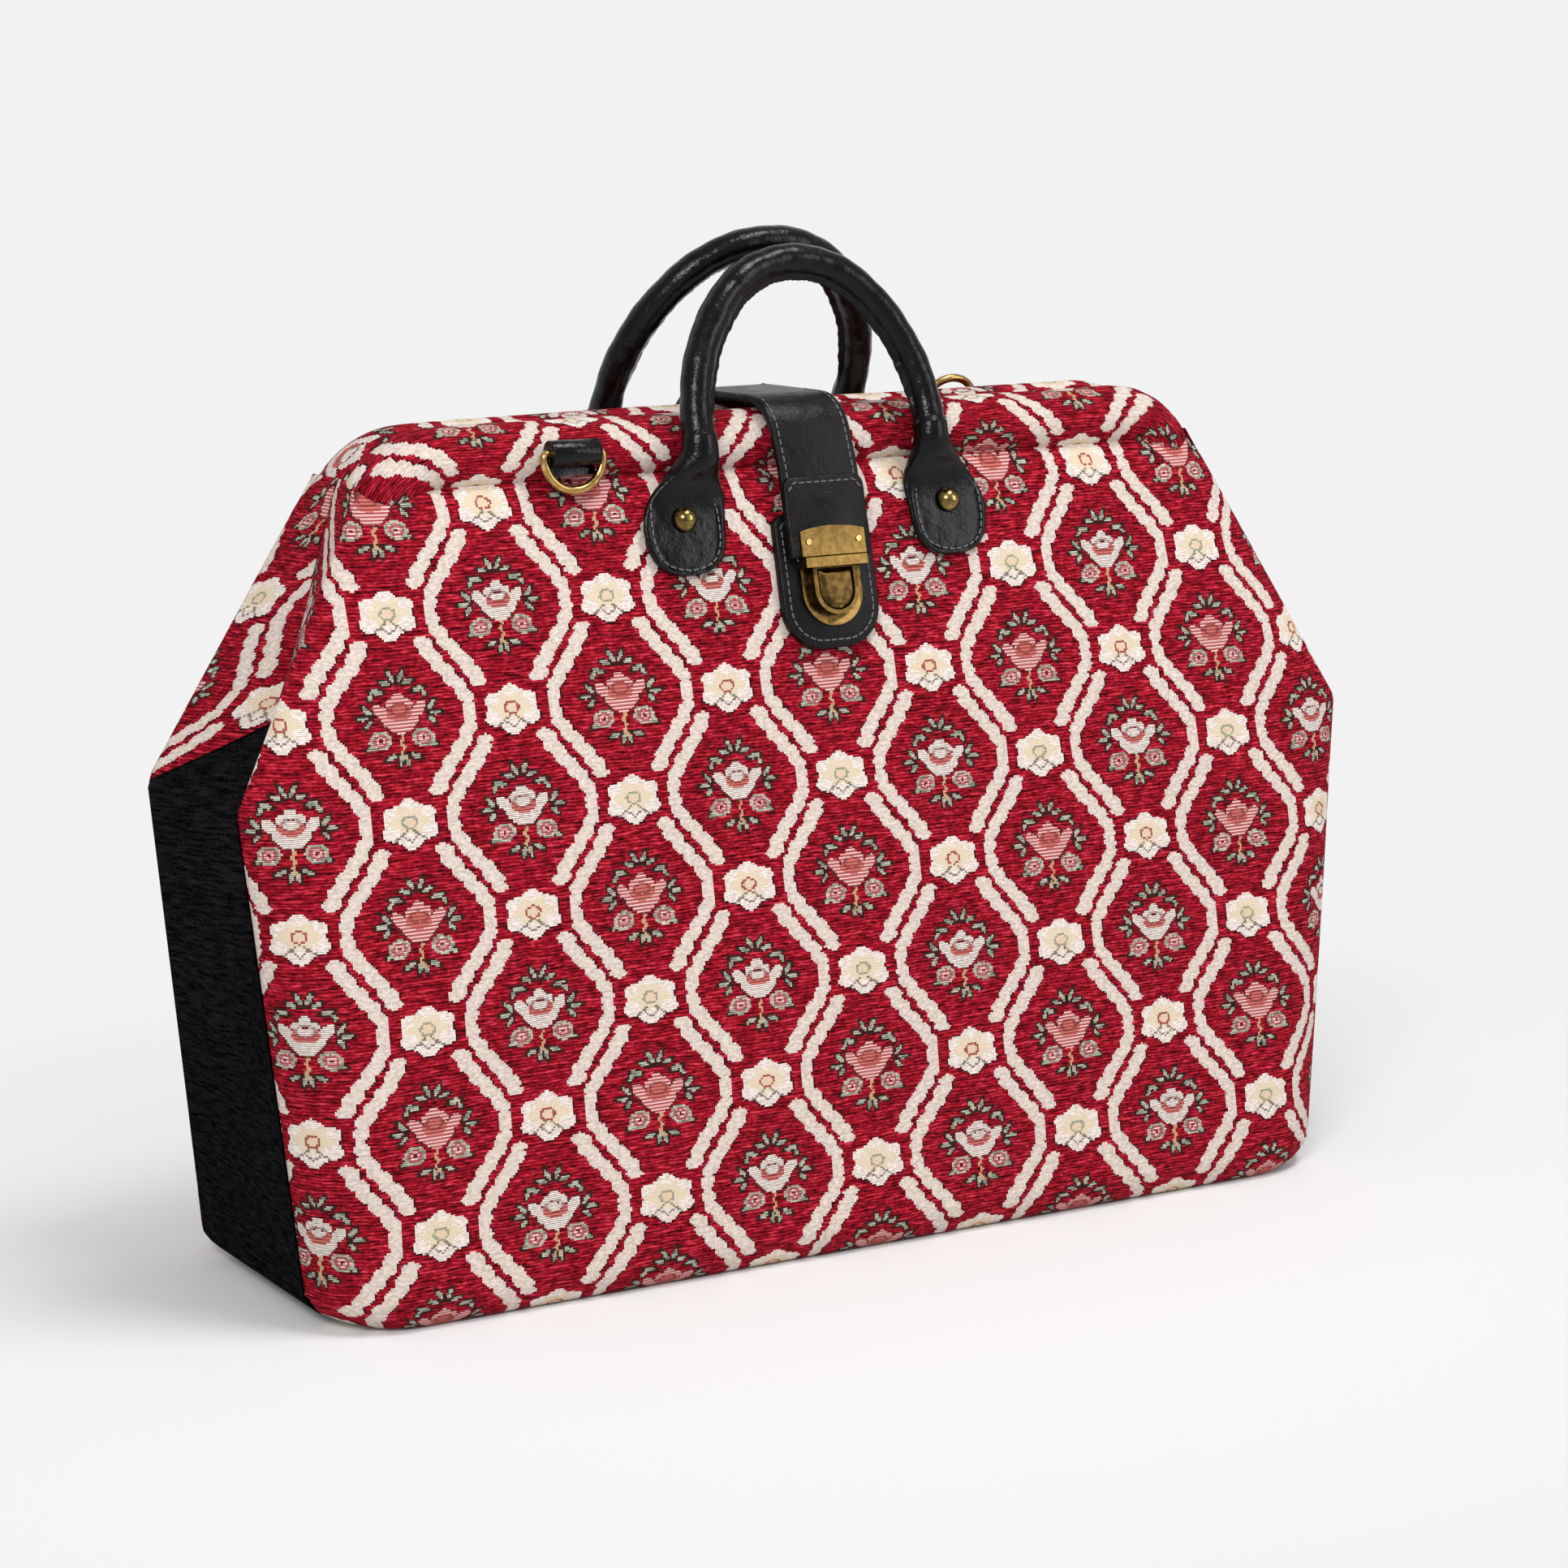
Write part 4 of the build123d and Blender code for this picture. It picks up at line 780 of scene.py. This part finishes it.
# Handles: a leather tube rolled round a cord, whose ends open out flat into riveted ears.
# Skin, welt and ears are one piece of black leather; the welt is sewn along the arch's inner side.
HANDLE_SHAPES = {"front": (44.5, 62.3, 17.0), "back": (48.0, 73.0, 27.0)}
EAR_X = 51.0
PIVOT_Y, PIVOT_Z = 32.6, 271.5
SHOULDER_RADIUS, SHOULDER_TURN = 65.0, math.radians(45)
TUBE = 5.3
EAR_BACK = 0.15
EAR_STATIONS = (
    (230.9, 4.0, 1.3), (231.4, 6.4, 1.5), (232.4, 8.8, 1.6), (234.0, 11.0, 1.6), (236.3, 12.9, 1.6),
    (239.2, 14.2, 1.6), (242.6, 14.9, 1.6), (246.5, 15.1, 1.6), (250.5, 15.0, 1.6), (253.6, 14.5, 1.7),
    (256.2, 13.6, 2.2), (258.8, 12.2, 3.0), (261.4, 10.6, 4.0), (264.0, 9.1, 4.9), (266.6, 7.8, 5.5),
    (269.4, 6.8, 5.8), (272.2, 6.1, 5.8),
)
EAR_ROUND = 11
around = np.sort(np.concatenate([
    np.linspace(0, 2 * math.pi, 53)[:-1],
    math.pi + np.array([-0.26, -0.19, -0.06, 0.06, 0.19, 0.26])]))


def arch_line(spread, rise):
    """Middle of the handle's arch in its own plane: sideways, up, and the way that it faces outwards."""
    crown = (spread - SHOULDER_RADIUS * (1 - math.cos(SHOULDER_TURN))) / math.cos(SHOULDER_TURN)
    stand = rise - SHOULDER_RADIUS * math.sin(SHOULDER_TURN) - crown * (1 - math.sin(SHOULDER_TURN))
    line = [(-spread, v, 0.0) for v in np.linspace(3.5, max(stand, 3.6), 5)[:-1]]
    for a in np.linspace(0, SHOULDER_TURN, 30):
        line.append((-spread + SHOULDER_RADIUS * (1 - math.cos(a)), stand + SHOULDER_RADIUS * math.sin(a), a))
    for a in np.linspace(SHOULDER_TURN, math.pi / 2, 26)[1:]:
        line.append((-crown * math.cos(a), rise - crown * (1 - math.sin(a)), a))
    return line + [(-x, v, math.pi - a) for x, v, a in line[:-1][::-1]]


def handle_ring(middle, outer, front, wide, thick, square, welt, dip=0.0):
    """One ring of the handle's skin; dip hollows the ear's front inside its raised rim."""
    c, s = np.cos(around), np.sin(around)
    power = 2.0 / square
    a = wide * np.sign(c) * np.abs(c) ** power
    b = thick * np.sign(s) * np.abs(s) ** power
    b = b - dip * (s > 0) * np.clip((wide - 1.6 - np.abs(a)) / 1.4, 0, 1)
    a = a - welt * np.exp(-((around - math.pi) / 0.15) ** 2)
    return middle + a[:, None] * outer + b[:, None] * front


for sign, half in HALVES:
    spread, rise, lean = HANDLE_SHAPES[half]
    lean = math.radians(lean)
    rings, lines = [], []
    for side in (-1, 1):
        stations = []
        for k, (z, wide, thick) in enumerate(EAR_STATIONS):
            s = np.clip((z - 255.0) / 15.0, 0, 1)
            s = s * s * (3 - 2 * s)
            flat_y = face_depth(z) + EAR_BACK + 1.6
            y = flat_y + (PIVOT_Y - flat_y) * s - max(z - PIVOT_Z, 0) * math.tan(lean)
            x = EAR_X + (spread - EAR_X) * np.clip((z - 248) / (PIVOT_Z - 248), 0, 1)
            middle = np.array([side * x, sign * y, z])
            square = 3.2 - 1.2 * s
            crease = 0.22 * math.sin(z * 1.7) * (1 - abs(2 * s - 1))
            out = np.array([side * 1.0, 0, 0])
            tilt = 0.25 * (1 - s) - 0.2 * s
            front = np.array([0, sign * math.cos(tilt), math.sin(tilt)])
            dip = 0.75 * min(k / 3, 1) if k < EAR_ROUND - 2 else 0.0
            stations.append(handle_ring(middle, out, front, wide + crease, thick + crease, square, 0.0, dip))
        if side < 0:
            rings += stations
            up = np.array([0, -sign * math.sin(lean), math.cos(lean)])
            front = np.array([0, sign * math.cos(lean), math.sin(lean)])
            base = np.array([0, sign * PIVOT_Y, PIVOT_Z])
            path = arch_line(spread, rise)
            travelled = 0.0
            for k, (x, v, a) in enumerate(path):
                if k:
                    travelled += math.hypot(x - path[k - 1][0], v - path[k - 1][1])
                outer = -math.cos(a) * np.array([1.0, 0, 0]) + math.sin(a) * up
                from_end = min(k, len(path) - 1 - k)
                welt = min(max(from_end - 2, 0) / 8, 1) * (1.9 + 0.16 * math.sin(travelled * 2.4))
                swell = 0.10 * math.sin(travelled / 3.1) + 0.08 * math.sin(travelled / 1.3)
                size = TUBE + swell + 0.7 * max(1 - from_end / 4, 0)
                middle = base + x * np.array([1.0, 0, 0]) + v * up
                rings.append(handle_ring(middle, outer, front, size, size, 2.0, welt))
        else:
            rings += stations[::-1]
        edge = []
        for z, wide, thick in EAR_STATIONS[:EAR_ROUND - 1]:
            edge.append((wide - 2.6, z + 1.9 * max(1 - (z - 230.9) / 6, 0), face_depth(z) + EAR_BACK + 2.75))
        for way in (-1, 1):
            lines.append([(side * EAR_X + way * max(w, 0.3), sign * y, z) for w, z, y in edge])
    points = np.array(rings)
    handle = sheet_mesh(half + "_handle_leather", points, LEATHER, wrap=True, close_ends=True, flip=sign > 0)
    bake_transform(handle)
    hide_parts(half + "_handle", half + "_handle_tab_left", half + "_handle_tab_right")
    seams = stitch_row(half + "_ear_stitches", lines)
    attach(seams, half + "_half")


# Pieces that keep the CAD's own shape: hardware with rounded edges, D-rings and their leather loops.
def dressed(node, material, body, bevel=0.0):
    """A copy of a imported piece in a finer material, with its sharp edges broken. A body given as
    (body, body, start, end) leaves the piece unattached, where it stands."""
    packed = bpy.data.objects[node]
    mesh = packed.data.copy()
    obj = bpy.data.objects.new(node + "_look", mesh)
    bpy.context.scene.collection.objects.link(obj)
    mesh.materials.clear()
    mesh.materials.append(material)
    mesh.polygons.foreach_set("material_index", [0] * len(mesh.polygons))
    if bevel:
        weld = obj.modifiers.new("weld", "WELD")
        weld.merge_threshold = 0.00001
        flat = obj.modifiers.new("flat", "DECIMATE")
        flat.decimate_type = "DISSOLVE"
        flat.angle_limit = math.radians(1)
        edge = obj.modifiers.new("edge", "BEVEL")
        edge.width = bevel * MM
        edge.segments = 2
        edge.limit_method = "ANGLE"
        edge.angle_limit = math.radians(35)
        edge.harden_normals = True
        graph = bpy.context.evaluated_depsgraph_get()
        baked = bpy.data.meshes.new_from_object(obj.evaluated_get(graph))
        obj.modifiers.clear()
        obj.data = baked
    if isinstance(body, str):
        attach(obj, body)
    else:
        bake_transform(obj)
    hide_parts(node)
    return obj


dressed("lock_base", BRASS, "front_half", 0.28)
dressed("lock_button", BRASS, "button_body", 0.3)
dressed("hasp_plate", BRASS, "strap_body", 0.28)
dressed("hasp_rivets", DOME, "strap_body")
for half in ("front", "back"):
    dressed(half + "_handle_rivets", DOME, half + "_half")
    dressed("d_ring_loop_" + half, LEATHER, half + "_half", 0.25)
    dressed("d_ring_" + half, GOLD, "d_ring_" + half + "_body")


# Linings, sleeve and pocket: plain dark cotton, sewn in along the seams. The two mouth linings stay
# where they stand, unattached; the lower lining stays still.
COTTON = plain_material("lining_cotton", rgb(70, 66, 66), 0.95)
for half in ("front", "back"):
    bend = ("root", half + "_half", (0, 0, 0.140), (0, 0, 0.190))
    dressed(half + "_mouth_lining", COTTON, bend)
for node in ("lining", "laptop_sleeve", "slip_pocket"):
    dressed(node, COTTON, "root")


# Lock patch and strap: grained black leather with rounded edges, sewn round with dark waxed thread whose mid
# grey colour is a painted sheen.
# The strap is fixed to the back half, runs over both rolls and carries the hasp at its end.
LOCK_Z = 226.5
LOCK_LEAN = math.atan(0.080 + 3.3e-6 * LOCK_Z**2)
PATCH_TOP = 3.15
STRAP_Y, STRAP_RADIUS, STRAP_HALF, STRAP_THICK = 15.5, 14.0, 15.0, 2.6
HASP_LOW = 6.2
STRAP_SKEW, STRAP_STRAIGHT = 0.085, 30.0
lock_up = np.array([0, math.sin(LOCK_LEAN), math.cos(LOCK_LEAN)])
lock_out = np.array([0, -math.cos(LOCK_LEAN), math.sin(LOCK_LEAN)])
lock_middle = np.array([0, -face_depth(LOCK_Z), LOCK_Z])


def on_lock(x, v, w):
    """A point over the lock patch: across, up, and out from the cloth."""
    return lock_middle + np.array([x, 0, 0]) + v * lock_up + w * lock_out


def rounded_box(half, low, high, radius, count=8, low_radius=None):
    """Outline of a rectangle with round corners, anticlockwise from its lower right."""
    outline = []
    corners = ((half, low, -90, low_radius or radius), (half, high, 0, radius),
               (-half, high, 90, radius), (-half, low, 180, low_radius or radius))
    for x, v, start, r in corners:
        cx, cv = x - math.copysign(r, x), v + (r if v == low else -r)
        for a in np.radians(np.linspace(start, start + 90, count)):
            outline.append((cx + r * math.cos(a), cv + r * math.sin(a)))
    return np.array(outline)


def inset(outline, distance):
    """The outline moved inwards."""
    ahead, behind = np.roll(outline, -1, 0), np.roll(outline, 1, 0)
    along = ahead - behind
    normal = np.stack([along[:, 1], -along[:, 0]], -1) / np.linalg.norm(along, axis=1)[:, None]
    return outline - normal * distance


def leather_plate(name, outline, low, high, edge, material):
    """A flat piece of leather over the lock patch, with rounded edges."""
    rows = [
        [on_lock(x, v, low) for x, v in outline],
        [on_lock(x, v, high - edge) for x, v in outline],
        [on_lock(x, v, high - edge * 0.3) for x, v in inset(outline, edge * 0.3)],
        [on_lock(x, v, high) for x, v in inset(outline, edge)],
    ]
    obj = sheet_mesh(name, np.array(rows), material, wrap=True, close_ends=True)
    obj.data.set_sharp_from_angle(angle=math.radians(50))
    return obj


def sewn(name, outline, distance, out, body, skip=None):
    """Stitches a little inside an outline over the lock patch."""
    path = inset(outline, distance)
    path = np.concatenate([path, path[:1]])
    points = [on_lock(x, v, out) for x, v in path if skip is None or not skip(x, v)]
    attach(stitch_row(name, [points]), body)


patch_outline = rounded_box(18.4, -24.0, 21.5, 4.0, low_radius=14.0)
patch = leather_plate("lock_patch_leather", patch_outline, 0.2, PATCH_TOP, 0.9, GRAINED)
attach(patch, "front_half")
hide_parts("lock_patch")
sewn("lock_patch_stitches", patch_outline, 2.6, PATCH_TOP + 0.02, "front_half")

over = math.pi / 2 - LOCK_LEAN
path = [(y, ROLL_Z + STRAP_RADIUS, 0.0) for y in np.linspace(STRAP_Y, -STRAP_Y, 14)[:-1]]
for a in np.linspace(0, over, 16):
    path.append((-STRAP_Y - STRAP_RADIUS * math.sin(a), ROLL_Z + STRAP_RADIUS * math.cos(a), a))
top_v = (np.array([0, path[-1][0], path[-1][1]]) - lock_middle) @ lock_up
strap_mid = (np.array([0, path[-1][0], path[-1][1]]) - lock_middle) @ lock_out
for v in np.linspace(top_v, HASP_LOW, 16)[1:]:
    p = on_lock(0, v, strap_mid)
    path.append((p[1], p[2], over))
tail = math.radians(80.5)
back_path = []
for a in np.linspace(0, tail, 14)[1:]:
    back_path.append((STRAP_Y + STRAP_RADIUS * math.sin(a), ROLL_Z + STRAP_RADIUS * math.cos(a), -a))
end_y, end_z = back_path[-1][0], back_path[-1][1]
for z in np.linspace(end_z, 241.0, 14)[1:]:
    back_path.append((end_y + (end_z - z) / math.tan(tail), z, -tail))
path = back_path[::-1] + path
steps = [math.dist(p[:2], q[:2]) for p, q in zip(path[:-1], path[1:])]
to_hasp = np.cumsum([0.0] + steps[::-1])[::-1]
lean_left = -STRAP_SKEW * np.maximum(to_hasp - STRAP_STRAIGHT, 0)
edge = rounded_box(STRAP_HALF, -STRAP_THICK / 2, STRAP_THICK / 2, 0.8, 4)
points = []
for k, (y, z, a) in enumerate(path):
    up = np.array([0, -math.sin(a), math.cos(a)])
    narrow = 1.0 - 0.12 * max(1 - k / 3.0, 0) ** 2
    points.append([np.array([p * narrow + lean_left[k], y, z]) + q * up for p, q in edge])
strap = sheet_mesh("strap_leather", np.array(points), GRAINED, wrap=True, close_ends=True, flip=True)
strap.data.set_sharp_from_angle(angle=math.radians(60))
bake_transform(strap)
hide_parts("closing_strap", "strap_anchor")
rows = []
for x in (-STRAP_HALF + 2.2, STRAP_HALF - 2.2):
    rows.append([(x + shift, y - math.sin(a) * 1.32, z + math.cos(a) * 1.32)
                 for (y, z, a), shift in zip(path, lean_left)])
front = [[p for p in row if p[1] < -6] for row in rows]
back = [[p for p in row if p[1] > 16] for row in rows]
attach(stitch_row("strap_stitches", front), "strap_body")
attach(stitch_row("strap_tail_stitches", back), "back_half")

end_low = strap_mid + STRAP_THICK / 2 + 0.1
end_outline = rounded_box(15.4, HASP_LOW, 33.4, 4.0, low_radius=0.6)
end_patch = leather_plate("strap_end_leather", end_outline, end_low, end_low + 1.5, 0.7, GRAINED)
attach(end_patch, "strap_body")
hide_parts("strap_end_patch")
sewn("strap_end_stitches", end_outline, 2.2, end_low + 1.52, "strap_body", lambda x, v: v < HASP_LOW + 4)


# Stage: a pale floor running up into a backdrop, a soft light on the left, a weaker one on the right
# and one above the front.
def stage_material():
    """A diffuse floor that keeps the shadow near the bag and turns into the plain background further out."""
    material, tree, shader = new_material("stage")
    shader.inputs["Base Color"].default_value = (0.74, 0.74, 0.74, 1)
    shader.inputs["Roughness"].default_value = 1.0
    shader.inputs["Specular IOR Level"].default_value = 0.0
    plain = tree.nodes.new("ShaderNodeEmission")
    plain.inputs["Color"].default_value = rgb(242, 242, 242)
    place = tree.nodes.new("ShaderNodeSeparateXYZ")
    tree.links.new(tree.nodes.new("ShaderNodeTexCoord").outputs["Object"], place.inputs[0])
    x, y = Value(place.outputs[0]), Value(place.outputs[1])
    far = ((x * 0.8) * (x * 0.8) + y * y).op("SQRT").fade(0.14, 0.42)
    ray = tree.nodes.new("ShaderNodeLightPath")
    seen = Value(ray.outputs["Is Camera Ray"]).either(Value(ray.outputs["Is Glossy Ray"]))
    seen = seen.either(Value(ray.outputs["Is Transmission Ray"]))
    mix = tree.nodes.new("ShaderNodeMixShader")
    tree.links.new((far * seen).socket, mix.inputs[0])
    tree.links.new(shader.outputs[0], mix.inputs[1])
    tree.links.new(plain.outputs[0], mix.inputs[2])
    end = next(n for n in tree.nodes if n.type == "OUTPUT_MATERIAL")
    tree.links.new(mix.outputs[0], end.inputs["Surface"])
    return material


rows = []
sweep = [(-3.0, 0.0), (1.2, 0.0)] + [(1.2 + 1.5 * math.sin(a), 1.5 - 1.5 * math.cos(a))
                                     for a in np.linspace(0.1, math.pi / 2, 20)] + [(2.7, 5.0)]
for y, z in sweep:
    rows.append([(-4500, y * 1000, z * 1000 - 0.3), (4500, y * 1000, z * 1000 - 0.3)])
backdrop = sheet_mesh("backdrop", np.array(rows), stage_material())

world = bpy.data.worlds.new("studio")
bpy.context.scene.world = world
world.use_nodes = True
world.node_tree.nodes["Background"].inputs["Color"].default_value = (1, 1, 1, 1)
world.node_tree.nodes["Background"].inputs["Strength"].default_value = 0.5


def softbox(name, place, target, size, power):
    light = bpy.data.lights.new(name, "AREA")
    light.shape = "RECTANGLE"
    light.size, light.size_y = size
    light.energy = power
    obj = bpy.data.objects.new(name, light)
    bpy.context.scene.collection.objects.link(obj)
    obj.location = place
    obj.rotation_euler = (Vector(target) - Vector(place)).to_track_quat("-Z", "Y").to_euler()


softbox("key", (-1.5, -1.7, 1.6), (0, 0, 0.15), (0.7, 0.7), 36)
softbox("fill", (1.6, -1.8, 1.0), (0, 0, 0.15), (0.8, 1.2), 12)
softbox("top", (0.5, -0.7, 2.1), (0, 0, 0.2), (0.9, 0.5), 24)

# Camera: the photograph's own view, from the front left and slightly above.
YAW, PITCH, ROLL = math.radians(30.0), math.radians(10.7), math.radians(-0.41)
FOCAL_PIXELS, FRAME_PIXELS, DISTANCE = 4954.69, 1932, 1.3919
aim = Vector((0.00483, 0.0, 0.14979))
forward = Vector((math.sin(YAW) * math.cos(PITCH), math.cos(YAW) * math.cos(PITCH), -math.sin(PITCH)))
across = Vector((math.cos(YAW), -math.sin(YAW), 0))
upward = across.cross(forward)
rolled_across = across * math.cos(ROLL) + upward * math.sin(ROLL)
upward = upward * math.cos(ROLL) - across * math.sin(ROLL)
across = rolled_across
lens = bpy.data.cameras.new("camera")
lens.sensor_width = 36.0
lens.lens = FOCAL_PIXELS / FRAME_PIXELS * 36.0
lens.clip_end = 20
camera = bpy.data.objects.new("camera", lens)
bpy.context.scene.collection.objects.link(camera)
turned = Matrix((across, upward, -forward)).transposed().to_4x4()
camera.matrix_world = Matrix.Translation(aim - forward * DISTANCE) @ turned
scene = bpy.context.scene
scene.camera = camera
scene.render.resolution_x = FRAME_PIXELS
scene.render.resolution_y = FRAME_PIXELS
scene.view_settings.view_transform = "Standard"
scene.render.engine = "CYCLES"
